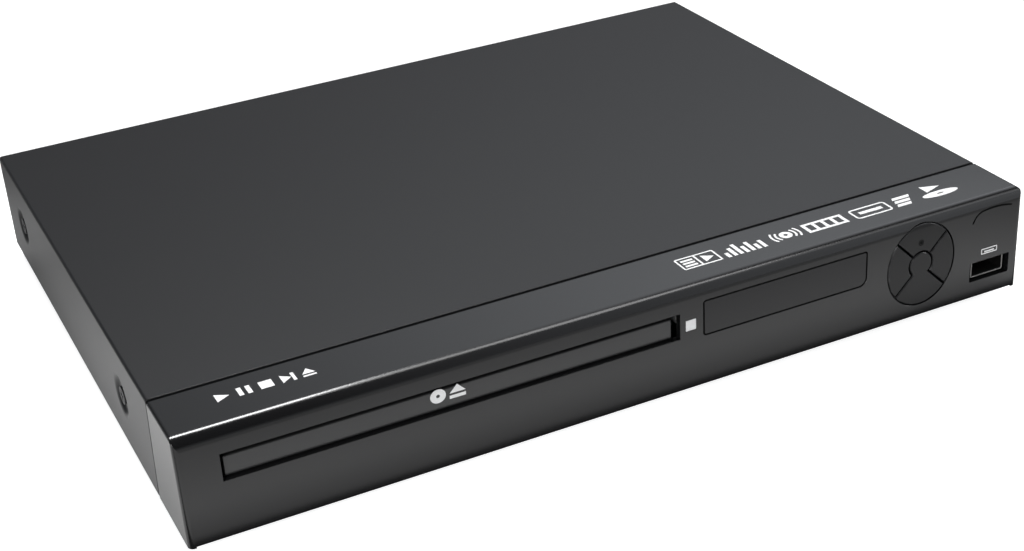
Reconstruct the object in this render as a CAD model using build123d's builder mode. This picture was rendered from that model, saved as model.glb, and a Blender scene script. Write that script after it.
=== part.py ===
from build123d import *
import os
from math import acos, atan2, cos, degrees, pi, radians, sin, tan

os.makedirs("parts", exist_ok=True)

# Outside of the case. The origin is under the middle of the player, at the soles of its feet
body_width = 290.0
body_depth = 222.2
body_height = 35.8
foot_height = 4.2
jack_reach = 8.0

# Steel sheet of the cover and the pan, and the gap between the cover's skirt and the pan's flange
sheet = 0.8
cover_bend = 1.0
skirt_gap = 1.4
rear_lip = 8.0

# Moulded front: wall, rounding, and the seam that leans back on its sides
front_wall = 2.5
side_wall = 2.2
roof_wall = 2.2
top_strip = 24.7
seam_lean = 4.9
seam_gap = 0.7
brow_radius = 3.8
seam_step = 0.7
seam_step_depth = 0.8
corner_radius = 1.8
chin_radius = 1.4
chin_lift = 0.5
tongue_reach = 6.0
tongue_thickness = 1.5

# Openings in the front: gaps between them from left to right, and heights above the underside of the body
slot_margin = 12.6
slot_low = 18.9
slot_height = 8.9
lamp_gap = 2.0
lamp_z = 22.9
lamp_side = 3.6
window_gap = 8.4
window_to_ring = 8.6
window_z = 23.9
window_height = 12.0
window_thickness = 1.6
window_ledge = 1.2
window_big_corner = 2.8
window_small_corner = 0.9
port_margin = 12.05
port_z = 9.95
port_width = 16.0
port_height = 7.1
pad_line_width = 0.45
pad_line_depth = 0.5
trim_gap = 0.25

# Ring of four keys
ring_margin = 40.4
ring_above = 2.1
ring_below = 4.7
ring_half_width = 13.0
ring_gap = 0.4
key_groove = 0.6
key_centre_radius = 4.2
key_thickness = 2.7
key_flange = 1.2
key_flange_thickness = 1.2
key_edge = 0.5
key_travel = 0.8
key_roof_gap = 0.4
key_stem_radius = 2.0
key_reach = 8.6

# Front board and what stands on it
board_thickness = 1.6
front_board_depth = 17.0
front_board_gap = 1.0
front_board_side = 1.4
front_board_rise = 4.6
front_board_drop = 1.2
front_board_screw_inset = 20.0
display_margin = 6.3
display_half_height = 4.6
display_set_back = 4.5
receiver_length = 5.0
switch_side = 6.0
switch_height = 4.0
switch_cap_radius = 1.7
switch_clearance = 0.2
port_shell_width = 13.1
port_shell_height = 5.7
port_shell_wall = 0.4
port_set_back = 1.0
port_shell_shift = 0.3
port_shell_rise = 0.35
tongue_set_back = 4.6

# Loader: the tray, its travel and the wheels that drive it
loader_shift = -0.6
door_width = 143.1
door_side_gap = 1.65
door_height = 6.5
door_thickness = 2.2
door_recess = 1.6
door_low = 0.4
tray_step = 2.55
tray_length = 150.2
tray_rim = 4.2
tray_rail = 1.8
disc_radius = 60.75
small_disc_radius = 40.5
disc_depth = 2.0
small_disc_depth = 0.8
hub_hole_radius = 23.0
tray_slot_half = 22.0
spindle_depth = 84.0
loader_gap = 0.3
loader_front = 5.0
loader_back = 177.0
loader_wall = 4.0
loader_side_gap = 0.5
loader_foot = 1.0
loader_rail_thickness = 1.6
gear_deck_rise = 12.0
gear_deck_thickness = 1.6
gear_deck_back = 55.0
wall_above_tray = 2.4
ledge_width = 6.5
ledge_thickness = 1.5
tab_width = 3.0
tab_length = 8.0
tab_thickness = 1.4
tab_depths = [10.0, 66.0, 152.0]
ear_reach = 3.2
ear_height = 2.4
ear_depths = [14.0, 168.0]

# Teeth
pressure = radians(20)
addendum = 0.8
dedendum = 1.1
backlash = 0.12
flank_steps = 5
rack_inset = 14.0
rack_module = 1.0
rack_width = 5.0
tray_gear_depth = 20.0
tray_gear_teeth = 16
tray_wheel_teeth = 40
fine_module = 0.6
pulley_pinion_teeth = 12
pulley_belt_radius = 9.0
motor_belt_radius = 3.0
belt_thickness = 1.2
belt_clearance = 0.08
pulley_flange = 0.9
loading_motor_x = 6.0
loading_motor_depth = 32.0
loading_motor_radius = 12.2

# Lift frame, its tilt and the cam slide
pivot_depth = 168.0
pivot_rise = 12.5
pivot_radius = 2.0
pivot_length = 4.0
pivot_clearance = 0.06
lift_half_width = 44.0
lift_rail = 7.8
lift_front = 62.0
lift_back = 174.0
lift_thickness = 3.0
lift_angle = 3.6
cam_travel = 18.0
cam_pin_x = 20.0
cam_pin_radius = 1.5
cam_depth = 58.0
cam_thickness = 2.0
cam_clearance = 0.2

# Deck plate with the spindle and the pickup
deck_rise = 1.2
deck_thickness = 1.2
deck_front = 66.0
deck_back = 169.5
grommet_radius = 3.8
grommet_neck = 2.6
grommet_x = 40.0
grommet_front = 72.0
grommet_back = 160.0
shoulder_radius = 1.5
rod_radius = 1.5
rod_x = 18.0
rod_drop = 3.2
rod_clearance = 0.05
pickup_half = 20.0
pickup_front = 99.6
pickup_length = 27.4
pickup_travel = 34.0
lens_radius_at_rest = 24.0
sled_module = 0.5
sled_rack_x = 27.0
sled_depth = 126.0
sled_gear_teeth = 14
sled_wheel_teeth = 40
sled_pinion_teeth = 12
sled_motor_x = 28.5
sled_motor_radius = 7.2
rotor_radius = 13.2
turntable_radius = 15.5
hub_radius = 7.4
puck_radius = 15.0
puck_flange = 17.5
bridge_thickness = 1.2
bridge_half_length = 19.0

# Boards, sockets and the parts behind the loader
standoff_height = 6.0
board_margin = 4.0
board_back_gap = 1.0
main_board_gap = 22.3
main_board_side = 4.8
main_board_length = 101.6
power_board_side = 6.8
power_board_width = 104.0
power_board_gap = 4.0
jack_barrel_radius = 4.15
jack_bore_radius = 1.7
jack_shoulder = 0.25
jack_wall = 0.6
jack_hole_gap = 0.15
jack_pitch = 14.0
jack_count = 4
jack_rise = 8.0
jack_block_depth = 12.0
jack_seat = 6.0
jacks_to_video = 24.0
video_inset = 16.0
video_width = 15.0
video_height = 6.0
socket_gap = 0.3
inlet_inset = 18.0
inlet_width = 21.0
inlet_height = 11.0
inlet_depth = 18.0

# Feet and screws
foot_side = 27.0
foot_front = 32.0
foot_behind = 28.2
foot_radius = 9.0
foot_peg_radius = 2.4
dimple_depth = skirt_gap
dimple_floor = 4.2
dimple_rim = 7.6
side_screw_front = 61.0
side_screw_behind = 26.2
side_screw_rise = 18.3
screw_head_radius = 2.9
screw_head_height = 1.2
screw_shank_radius = 1.4
screw_length = 5.0
screw_clearance = 0.1

# Levels and places that follow from the sizes above
front_y = -(body_depth + jack_reach) / 2
rear_y = front_y + body_depth
base_z = foot_height
top_z = foot_height + body_height
half_width = body_width / 2
pan_half = half_width - sheet - skirt_gap
pan_top = base_z + sheet
roof_z = top_z - roof_wall
ring_x = half_width - ring_margin
ring_half_height = (body_height - ring_above - ring_below) / 2
ring_z = ring_below + ring_half_height
port_x = half_width - port_margin
slot_width = door_width + 2 * door_side_gap
slot_x = -half_width + slot_margin + slot_width / 2
slot_right = slot_x + slot_width / 2
lamp_x = slot_right + lamp_gap + lamp_side / 2
window_left = slot_right + window_gap
window_right = ring_x - ring_half_width - window_to_ring
window_width = window_right - window_left
window_x = (window_left + window_right) / 2
window_bottom = base_z + window_z - window_height / 2
display_half = window_width / 2 - display_margin
front_board_left = slot_right + front_board_gap
front_board_right = pan_half - front_board_side
front_board_low = pan_top + front_board_rise
front_board_top = roof_z - front_board_drop
loader_x = slot_x + loader_shift
slot_z = base_z + slot_low
door_z = slot_z + door_low
tray_z = door_z + 0.1
tray_plate_z = tray_z + tray_rail
tray_top = tray_plate_z + tray_rim
tray_half = door_width / 2 - tray_step
rack_x = tray_half - rack_inset
loader_inner = tray_half + loader_side_gap
loader_outer = loader_inner + loader_wall
loader_z = pan_top + loader_foot
rail_top = loader_z + loader_rail_thickness
loader_top = tray_top + wall_above_tray
gear_deck_z = pan_top + gear_deck_rise
gear_deck_top = gear_deck_z + gear_deck_thickness
pivot_z = pan_top + pivot_rise
lift_z = pivot_z - lift_thickness / 2
lift_top = lift_z + lift_thickness
deck_z = lift_top + deck_rise
deck_top = deck_z + deck_thickness
disc_z = tray_top - 0.2
board_z = pan_top + standoff_height
board_face = board_z + board_thickness
main_board_left = loader_x + loader_outer + main_board_gap
main_board_right = pan_half - main_board_side
power_board_left = -pan_half + power_board_side
power_board_right = power_board_left + power_board_width
board_back = rear_y - 2 * sheet - board_back_gap
main_board_front = board_back - main_board_length
power_board_front = front_y + loader_back + power_board_gap
video_x = main_board_right - video_inset
inlet_x = power_board_left + inlet_inset
foot_x = half_width - foot_side


def at(depth):
    """Y of a place this far behind the front face."""
    return front_y + depth


def upright(y):
    """Plane across the case at this Y: its x is X, its y is Z, and it faces the front."""
    return Plane(origin=(0, y, 0), x_dir=(1, 0, 0), z_dir=(0, -1, 0))


def sideways(x):
    """Plane along the case at this X: its x is Y, its y is Z, and it faces the right."""
    return Plane(origin=(x, 0, 0), x_dir=(0, 1, 0), z_dir=(1, 0, 0))


def block(x, y, z, mode=Mode.ADD):
    """Box between two values of X, of Y and of Z."""
    with Locations(((x[0] + x[1]) / 2, (y[0] + y[1]) / 2, (z[0] + z[1]) / 2)):
        Box(x[1] - x[0], y[1] - y[0], z[1] - z[0], mode=mode)


def post(x, y, z, radius, mode=Mode.ADD):
    """Upright cylinder between two values of Z."""
    with Locations((x, y, (z[0] + z[1]) / 2)):
        Cylinder(radius, z[1] - z[0], mode=mode)


def bar_along_y(x, y, z, radius, mode=Mode.ADD):
    """Cylinder that runs front to back between two values of Y."""
    with Locations(Location((x, (y[0] + y[1]) / 2, z), (90, 0, 0))):
        Cylinder(radius, y[1] - y[0], mode=mode)


def bar_along_x(x, y, z, radius, mode=Mode.ADD):
    """Cylinder that runs across between two values of X."""
    with Locations(Location(((x[0] + x[1]) / 2, y, z), (0, 90, 0))):
        Cylinder(radius, x[1] - x[0], mode=mode)


def gear_outline(teeth, module, tooth_angle):
    """Corners of an involute gear about its centre, with one tooth centred on tooth_angle in degrees."""
    pitch_radius = module * teeth / 2
    base_radius = pitch_radius * cos(pressure)
    root_radius = pitch_radius - dedendum * module
    tip_radius = pitch_radius + addendum * module

    def involute(radius):
        roll = acos(base_radius / max(radius, base_radius))
        return tan(roll) - roll

    half_tooth = pi / (2 * teeth) - backlash / (2 * pitch_radius) + involute(pitch_radius)
    rise = (tip_radius - root_radius) / flank_steps
    flank = [root_radius + step * rise for step in range(flank_steps + 1)]
    corners = []
    for tooth in range(teeth):
        middle = radians(tooth_angle) + 2 * pi * tooth / teeth
        for side, radii in ((-1, flank), (1, flank[::-1])):
            for radius in radii:
                angle = middle + side * (half_tooth - involute(radius))
                corners.append((radius * cos(angle), radius * sin(angle)))
    return corners


def gear(x, y, z, teeth, module, tooth_angle):
    """Toothed wheel between two values of Z."""
    with BuildSketch(Plane((x, y, z[0]))) as wheel:
        Polygon(*gear_outline(teeth, module, tooth_angle), align=None)
    extrude(wheel.sketch, amount=z[1] - z[0])


def rack(pitch_x, back_x, y, z, module, gap_y):
    """Straight rack between two values of Y, toothed towards pitch_x, with one gap centred on gap_y."""
    pitch = pi * module
    inward = 1 if back_x > pitch_x else -1
    root_x = pitch_x + inward * dedendum * module
    tip_x = pitch_x - inward * addendum * module
    root_half = pitch / 4 - backlash / 2 + dedendum * module * tan(pressure)
    tip_half = pitch / 4 - backlash / 2 - addendum * module * tan(pressure)
    corners = [(back_x, y[0]), (root_x, y[0])]
    first = int((y[0] - gap_y) / pitch) - 1
    for tooth in range(first, first + int((y[1] - y[0]) / pitch) + 4):
        middle = gap_y + (tooth + 0.5) * pitch
        if middle - root_half > y[0] + module / 4 and middle + root_half < y[1] - module / 4:
            corners.append((root_x, middle - root_half))
            corners.append((tip_x, middle - tip_half))
            corners.append((tip_x, middle + tip_half))
            corners.append((root_x, middle + root_half))
    corners += [(root_x, y[1]), (back_x, y[1])]
    with BuildSketch(Plane.XY.offset(z[0])) as teeth:
        Polygon(*corners, align=None)
    extrude(teeth.sketch, amount=z[1] - z[0])


# Places shared by several pieces
side_screws = [(y, base_z + side_screw_rise) for y in (at(side_screw_front), rear_y - side_screw_behind)]
rear_screw_inset = 12.0
rear_screw_xs = [-half_width + rear_screw_inset, 0, half_width - rear_screw_inset]
rear_screw_z = top_z - sheet - rear_lip / 2
feet = {
    "foot_front_left": (-foot_x, at(foot_front)),
    "foot_front_right": (foot_x, at(foot_front)),
    "foot_rear_left": (-foot_x, rear_y - foot_behind),
    "foot_rear_right": (foot_x, rear_y - foot_behind),
}
front_bosses = [
    (front_board_left + board_margin, front_board_low + board_margin),
    (front_board_right - front_board_screw_inset, front_board_top - board_margin),
]
ear_half = loader_outer + ear_reach
loader_ears = [(loader_x + side * ear_half, at(depth)) for side in (-1, 1) for depth in ear_depths]
main_standoffs = [
    (x, y)
    for x in (main_board_left + board_margin, main_board_right - board_margin)
    for y in (main_board_front + 2 * board_margin, board_back - 4 * board_margin)
]
power_standoffs = [
    (x, y)
    for x in (power_board_left + board_margin, power_board_right - board_margin)
    for y in (power_board_front + board_margin, board_back - board_margin)
]
panel_y = rear_y - sheet
jack_xs = [video_x - jacks_to_video - number * jack_pitch for number in reversed(range(jack_count))]
jack_z = board_face + jack_rise
jack_root = jack_barrel_radius + jack_shoulder
video_z = board_face + video_height / 2
inlet_z = board_face + inlet_height / 2
bolt_hole = screw_shank_radius
boss_radius = 2.6

# Base pan: steel floor with low side flanges, raised pads and the rear panel with its cut-outs
flange_height = 26.0
flange_top = base_z + flange_height
pad_radius = 4.5
standoff_radius = 3.2
vent_length = 26.0
vent_width = 2.4
vent_depth = 150.0
rear_vent_width = 1.8
rear_vent_height = 14.0
rear_vent_pitch = 4.0
rear_vent_x = (power_board_left + power_board_right) / 2 + 29
with BuildPart() as base_pan:
    block((-pan_half, pan_half), (at(front_wall + 0.5), panel_y), (base_z, pan_top))
    flange_front = at(top_strip + seam_lean + seam_gap)
    for side in (-1, 1):
        edge = sorted((side * pan_half, side * (pan_half - sheet)))
        block(edge, (flange_front, panel_y), (base_z, flange_top))
    block((-pan_half, pan_half), (panel_y - sheet, panel_y), (base_z, top_z - sheet))
    for x, y in loader_ears:
        post(x, y, (pan_top, loader_z), pad_radius)
    for x, y in main_standoffs + power_standoffs:
        post(x, y, (pan_top, board_z), standoff_radius)
    for x, y in loader_ears + main_standoffs + power_standoffs:
        post(x, y, (base_z, board_z), bolt_hole, Mode.SUBTRACT)
    for x, y in feet.values():
        post(x, y, (base_z, pan_top), foot_peg_radius + screw_clearance, Mode.SUBTRACT)
    with Locations((0, at(vent_depth), base_z + sheet / 2)):
        with GridLocations(vent_length * 1.25, vent_width * 3, 2, 6):
            Box(vent_length, vent_width, sheet, mode=Mode.SUBTRACT)
    for y, z in side_screws:
        bar_along_x((-pan_half, pan_half), y, z, bolt_hole, Mode.SUBTRACT)
    for x in rear_screw_xs:
        bar_along_y(x, (panel_y - sheet, panel_y), rear_screw_z, bolt_hole, Mode.SUBTRACT)
    for x in jack_xs:
        bar_along_y(x, (panel_y - sheet, panel_y), jack_z, jack_root + jack_hole_gap, Mode.SUBTRACT)
    block(
        (video_x - video_width / 2 - socket_gap, video_x + video_width / 2 + socket_gap),
        (panel_y - sheet, panel_y),
        (video_z - video_height / 2 - socket_gap, video_z + video_height / 2 + socket_gap),
        Mode.SUBTRACT,
    )
    block(
        (inlet_x - inlet_width / 2 - socket_gap, inlet_x + inlet_width / 2 + socket_gap),
        (panel_y - sheet, panel_y),
        (inlet_z - inlet_height / 2 - socket_gap, inlet_z + inlet_height / 2 + socket_gap),
        Mode.SUBTRACT,
    )
    with Locations((rear_vent_x, panel_y - sheet / 2, base_z + body_height / 2)):
        with GridLocations(rear_vent_pitch, 0, 12, 1):
            Box(rear_vent_width, sheet, rear_vent_height, mode=Mode.SUBTRACT)
base_pan.part.label = "base_pan"
export_step(base_pan.part, "parts/base_pan.step")

# Top cover: one folded sheet with a skirt each side, a turned-in hem, a rear lip and four drawn dimples
hem_width = skirt_gap - 0.15
skirt_low = base_z + 0.4
dimple_middle = (dimple_floor + dimple_rim) / 2
with BuildPart() as top_cover:
    with BuildSketch(upright(rear_y)):
        with BuildLine():
            Polyline(
                (-half_width, skirt_low), (-half_width, top_z), (half_width, top_z), (half_width, skirt_low),
                (half_width - sheet - hem_width, skirt_low),
                (half_width - sheet - hem_width, skirt_low + sheet),
                (half_width - sheet, skirt_low + sheet), (half_width - sheet, top_z - sheet),
                (-half_width + sheet, top_z - sheet), (-half_width + sheet, skirt_low + sheet),
                (-half_width + sheet + hem_width, skirt_low + sheet),
                (-half_width + sheet + hem_width, skirt_low),
                close=True,
            )
        make_face()
    extrude(amount=body_depth - top_strip - seam_gap)
    bends = top_cover.edges().filter_by(Axis.Y)
    fillet(bends.filter_by_position(Axis.Z, top_z - 0.01, top_z + 0.01), cover_bend)
    fillet(
        top_cover.edges().filter_by(Axis.Y).filter_by_position(
            Axis.Z, top_z - sheet - 0.01, top_z - sheet + 0.01), cover_bend - sheet)
    block(
        (-half_width + 2 * sheet, half_width - 2 * sheet),
        (panel_y, rear_y),
        (top_z - sheet - rear_lip, top_z - sheet),
    )
    # The skirt's front edge leans back with the seam
    with BuildSketch(sideways(-half_width - 1)):
        with BuildLine():
            Polyline(
                (at(top_strip + seam_gap) - 1, top_z - cover_bend - 0.5),
                (at(top_strip + seam_gap), top_z - cover_bend - 0.5),
                (at(top_strip + seam_gap + seam_lean), base_z),
                (at(top_strip + seam_gap) - 1, base_z),
                close=True,
            )
        make_face()
    extrude(amount=body_width + 2, mode=Mode.SUBTRACT)
    # Each dimple is drawn inwards through the sheet with an S-shaped wall
    for side in (-1, 1):
        for y, z in side_screws:
            axis = Axis((0, y, z), (side, 0, 0))
            for grow, face, mode in ((0.5, half_width - sheet, Mode.ADD), (0, half_width, Mode.SUBTRACT)):
                start = side * face
                floor = side * (face - dimple_depth)
                middle = (start + floor) / 2
                with BuildSketch(Plane(origin=(0, y, z), x_dir=(1, 0, 0), z_dir=(0, -1, 0))) as bowl:
                    with BuildLine():
                        Line((floor, 0), (floor, dimple_floor + grow))
                        curve = TangentArc((floor, dimple_floor + grow), (middle, dimple_middle + grow),
                                           tangent=(0, 1))
                        TangentArc((middle, dimple_middle + grow), (start, dimple_rim + grow),
                                   tangent=curve % 1)
                        Line((start, dimple_rim + grow), (start, 0))
                        Line((start, 0), (floor, 0))
                    make_face()
                revolve(bowl.sketch, axis=axis, mode=mode)
            bar_along_x(sorted((side * pan_half, side * half_width)), y, z, bolt_hole, Mode.SUBTRACT)
    for x in rear_screw_xs:
        bar_along_y(x, (panel_y, rear_y), rear_screw_z, bolt_hole, Mode.SUBTRACT)
top_cover.part.label = "top_cover"
export_step(top_cover.part, "parts/top_cover.step")



def window_outline(clearance):
    """Outline of the window with its one large corner, grown by a clearance."""
    with BuildSketch(upright(front_y)) as outline:
        with Locations((window_x, base_z + window_z)):
            Rectangle(window_width, window_height)
        left_corners = outline.vertices().group_by(Axis.X)[0]
        upper_right = outline.vertices().group_by(Axis.X)[-1].sort_by(Axis.Y)[-1]
        fillet([*left_corners, upper_right], window_small_corner)
        fillet(outline.vertices().group_by(Axis.Y)[0].sort_by(Axis.X)[-1], window_big_corner)
        if clearance:
            offset(amount=clearance, mode=Mode.REPLACE)
    return outline.sketch


# Front bezel: moulded shell open behind and below, with a rounded brow and a tongue under the cover
skirt_bottom = base_z
chin_z = base_z + chin_lift
with BuildPart() as front_bezel:
    with BuildSketch(sideways(-half_width)) as side_shape:
        with BuildLine():
            Polyline(
                (front_y, skirt_bottom), (front_y, top_z), (at(top_strip - seam_step), top_z),
                (at(top_strip - seam_step), top_z - seam_step_depth),
                (at(top_strip), top_z - seam_step_depth),
                (at(top_strip), top_z - cover_bend - 0.5), (at(top_strip + seam_lean), skirt_bottom),
                close=True,
            )
        make_face()
        front_corners = side_shape.vertices().group_by(Axis.X)[0].sort_by(Axis.Y)
        fillet(front_corners[-1], brow_radius)
        fillet(front_corners[0], chin_radius)
    extrude(side_shape.sketch, amount=body_width)
    with BuildSketch(Plane.XY.offset(skirt_bottom)) as plan_shape:
        with Locations((0, front_y)):
            Rectangle(body_width, 2 * top_strip, align=(Align.CENTER, Align.MIN))
        fillet(plan_shape.vertices().group_by(Axis.Y)[0], corner_radius)
    extrude(plan_shape.sketch, amount=body_height, mode=Mode.INTERSECT)
    with BuildSketch(upright(front_y)) as face_shape:
        with Locations((0, skirt_bottom)):
            Rectangle(body_width, body_height, align=(Align.CENTER, Align.MIN))
        fillet(face_shape.vertices().group_by(Axis.Y)[-1], cover_bend)
    extrude(face_shape.sketch, amount=-2 * top_strip, mode=Mode.INTERSECT)
    hollow_back = at(top_strip + seam_lean + 1)
    block(
        (-half_width + side_wall, half_width - side_wall),
        (at(front_wall), hollow_back),
        (skirt_bottom - 1, roof_z),
        Mode.SUBTRACT,
    )
    block(
        (-half_width + side_wall, half_width - side_wall),
        (front_y - 1, hollow_back),
        (skirt_bottom - 1, chin_z),
        Mode.SUBTRACT,
    )
    block(
        (-half_width + 3 * side_wall, half_width - 3 * side_wall),
        (at(top_strip) - 4, at(top_strip + tongue_reach)),
        (top_z - sheet - tongue_thickness, top_z - sheet),
    )
    block(
        (slot_x - slot_width / 2, slot_x + slot_width / 2),
        (front_y - 1, at(front_wall) + 1),
        (slot_z, slot_z + slot_height),
        Mode.SUBTRACT,
    )
    block(
        (lamp_x - lamp_side / 2 - trim_gap / 2, lamp_x + lamp_side / 2 + trim_gap / 2),
        (front_y - 1, at(front_wall) + 1),
        (base_z + lamp_z - lamp_side / 2 - trim_gap / 2, base_z + lamp_z + lamp_side / 2 + trim_gap / 2),
        Mode.SUBTRACT,
    )
    extrude(window_outline(trim_gap), amount=-window_thickness, mode=Mode.SUBTRACT)
    block(
        (window_left + window_ledge, window_left + window_width - window_ledge),
        (front_y, at(front_wall) + 1),
        (window_bottom + window_ledge, window_bottom + window_height - window_ledge),
        Mode.SUBTRACT,
    )
    with BuildSketch(upright(front_y)) as key_hole:
        with Locations((ring_x, base_z + ring_z)):
            Ellipse(ring_half_width + ring_gap, ring_half_height + ring_gap)
    extrude(key_hole.sketch, amount=-key_thickness - key_travel - key_roof_gap, mode=Mode.SUBTRACT)
    with BuildSketch(upright(front_y)) as port_hole:
        with Locations((port_x, base_z + port_z)):
            RectangleRounded(port_width, port_height, 0.5)
    extrude(port_hole.sketch, amount=-front_wall - 1, mode=Mode.SUBTRACT)
    for x, z in front_bosses:
        bar_along_y(x, (at(front_wall), at(front_board_depth)), z, boss_radius)
        bar_along_y(x, (at(front_wall) + 2, at(front_board_depth)), z, bolt_hole, Mode.SUBTRACT)
    # A thin engraved line rounds the top of the pad over the port
    with BuildSketch(upright(front_y)) as pad_line:
        with BuildLine() as pad_edge:
            pad_rise = Line((port_x - 8.1, base_z + 28.2), (port_x - 7.2, base_z + 29.8))
            pad_bend = TangentArc(pad_rise @ 1, (port_x - 4.2, base_z + 31.9), tangent=pad_rise % 1)
            TangentArc(pad_bend @ 1, (port_x + 7.6, base_z + 31.4), tangent=pad_bend % 1)
        trace(pad_edge.line, line_width=pad_line_width)
    extrude(pad_line.sketch, amount=-pad_line_depth, mode=Mode.SUBTRACT)
front_bezel.part.label = "front_bezel"
export_step(front_bezel.part, "parts/front_bezel.step")

# Display window: tinted plate flush in its seat
with BuildPart() as display_window:
    extrude(window_outline(0), amount=-window_thickness)
display_window.part.label = "display_window"
export_step(display_window.part, "parts/display_window.step")

# Indicator lamp: square light rod from the front face back to the board
with BuildPart() as indicator_lamp:
    block(
        (lamp_x - lamp_side / 2, lamp_x + lamp_side / 2),
        (front_y, at(front_board_depth)),
        (base_z + lamp_z - lamp_side / 2, base_z + lamp_z + lamp_side / 2),
    )
indicator_lamp.part.label = "indicator_lamp"
export_step(indicator_lamp.part, "parts/indicator_lamp.step")

# Keys: three sectors and a lower one that carries the centre disc, each with a flange behind the bezel
sector_angles = {"key_right": 0, "key_top": 90, "key_left": 180, "key_lower": 270}
sector_reach = 2 * ring_half_height
stem_back = front_board_depth - switch_height - 1.5 - switch_clearance - key_travel
for key_name, angle in sector_angles.items():
    is_lower = key_name == "key_lower"
    stem_x = ring_x + key_reach * cos(radians(angle))
    stem_z = base_z + ring_z + key_reach * sin(radians(angle))
    with BuildPart() as key:
        cap_and_flange = ((key_thickness, 0, 0), (key_flange_thickness, key_flange, key_thickness))
        for thickness, grow, start in cap_and_flange:
            with BuildSketch(upright(at(start))) as sector:
                with Locations((ring_x, base_z + ring_z)):
                    Ellipse(ring_half_width + grow, ring_half_height + grow)
                    with BuildSketch(mode=Mode.PRIVATE) as wedge:
                        Polygon((0, 0), (sector_reach, -sector_reach), (sector_reach, sector_reach),
                                align=None)
                    half_groove = key_groove / 2 / sin(radians(45))
                    turned = wedge.sketch.moved(Location((half_groove, 0, 0))).rotate(Axis.Z, angle)
                    add(turned, mode=Mode.INTERSECT)
                    if is_lower:
                        Circle(key_centre_radius)
                    else:
                        Circle(key_centre_radius + key_groove, mode=Mode.SUBTRACT)
                if grow:
                    with Locations((ring_x, roof_z - key_roof_gap)):
                        Rectangle(4 * ring_half_width, 4 * ring_half_height, align=(Align.CENTER, Align.MAX),
                                  mode=Mode.INTERSECT)
            extrude(sector.sketch, amount=-thickness)
        rims = key.faces().sort_by(Axis.Y)[0].edges()
        chamfer(rims, key_edge / 2)
        extrude(side_shape.sketch, amount=body_width, mode=Mode.INTERSECT)
        bar_along_y(
            stem_x, (at(key_thickness + key_flange_thickness), at(stem_back)), stem_z, key_stem_radius)
    key.part.label = key_name
    export_step(key.part, f"parts/{key_name}.step")

# Front board: upright board that carries the switches, the display, the receiver and the port
with BuildPart() as front_board:
    block(
        (front_board_left, front_board_right),
        (at(front_board_depth), at(front_board_depth + board_thickness)),
        (front_board_low, front_board_top),
    )
    for x, z in front_bosses:
        bar_along_y(x, (at(front_board_depth), at(front_board_depth + board_thickness)), z, bolt_hole,
                    Mode.SUBTRACT)
front_board.part.label = "front_board"
export_step(front_board.part, "parts/front_board.step")

# Four key switches soldered to the front board, each with its round cap
with BuildPart() as tact_switches:
    for angle in sector_angles.values():
        switch_x = ring_x + key_reach * cos(radians(angle))
        switch_z = base_z + ring_z + key_reach * sin(radians(angle))
        block(
            (switch_x - switch_side / 2, switch_x + switch_side / 2),
            (at(front_board_depth - switch_height), at(front_board_depth)),
            (switch_z - switch_side / 2, switch_z + switch_side / 2),
        )
        bar_along_y(
            switch_x, (at(front_board_depth - switch_height - 1.5), at(front_board_depth - switch_height)),
            switch_z, switch_cap_radius)
tact_switches.part.label = "tact_switches"
export_step(tact_switches.part, "parts/tact_switches.step")

# Display module: digit block behind the window
digit_pitch = 2 * display_half / 5
segment_half = digit_pitch / 6
segment_width = digit_pitch / 32
segment_depth = 0.3
segment_rise = 0.6 * display_half_height
with BuildPart() as display_module:
    block(
        (window_x - display_half, window_x + display_half),
        (at(display_set_back), at(front_board_depth)),
        (base_z + window_z - display_half_height, base_z + window_z + display_half_height),
    )
    segment_y = (at(display_set_back), at(display_set_back) + segment_depth)
    for digit in range(4):
        digit_x = window_x + (digit - 1.5) * digit_pitch
        for rise in (-segment_rise, 0, segment_rise):
            bar_z = base_z + window_z + rise
            block((digit_x - segment_half, digit_x + segment_half), segment_y,
                  (bar_z - segment_width, bar_z + segment_width), Mode.SUBTRACT)
        for bar_x in (digit_x - 1.3 * segment_half, digit_x + 1.3 * segment_half):
            for rise in (-segment_rise / 2, segment_rise / 2):
                bar_z = base_z + window_z + rise
                block((bar_x - segment_width, bar_x + segment_width), segment_y,
                      (bar_z - 0.35 * segment_rise, bar_z + 0.35 * segment_rise), Mode.SUBTRACT)
display_module.part.label = "display_module"
export_step(display_module.part, "parts/display_module.step")

# Remote receiver: small dome-fronted block behind the right end of the window
receiver_x = window_right - display_margin / 2
with BuildPart() as remote_receiver:
    receiver_z = base_z + window_z
    block(
        (receiver_x - 0.38 * display_margin, receiver_x + 0.38 * display_margin),
        (at(front_board_depth - receiver_length), at(front_board_depth)),
        (receiver_z - 0.6 * receiver_length, receiver_z + 0.6 * receiver_length),
    )
    with Locations((receiver_x, at(front_board_depth - receiver_length), receiver_z)):
        Sphere(0.28 * display_margin)
remote_receiver.part.label = "remote_receiver"
export_step(remote_receiver.part, "parts/remote_receiver.step")

# Port shell: folded steel sleeve, open at the front, that stands on the front board
shell_y = (at(port_set_back), at(front_board_depth))
shell_x = port_x - port_shell_shift
shell_z = base_z + port_z + port_shell_rise
with BuildPart() as port_shell:
    with BuildSketch(upright(shell_y[0])) as sleeve:
        with Locations((shell_x, shell_z)):
            RectangleRounded(port_shell_width, port_shell_height, 0.6)
            RectangleRounded(
                port_shell_width - 2 * port_shell_wall, port_shell_height - 2 * port_shell_wall, 0.3,
                mode=Mode.SUBTRACT)
    extrude(sleeve.sketch, amount=-(shell_y[1] - shell_y[0]))
port_shell.part.label = "port_shell"
export_step(port_shell.part, "parts/port_shell.step")

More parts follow.
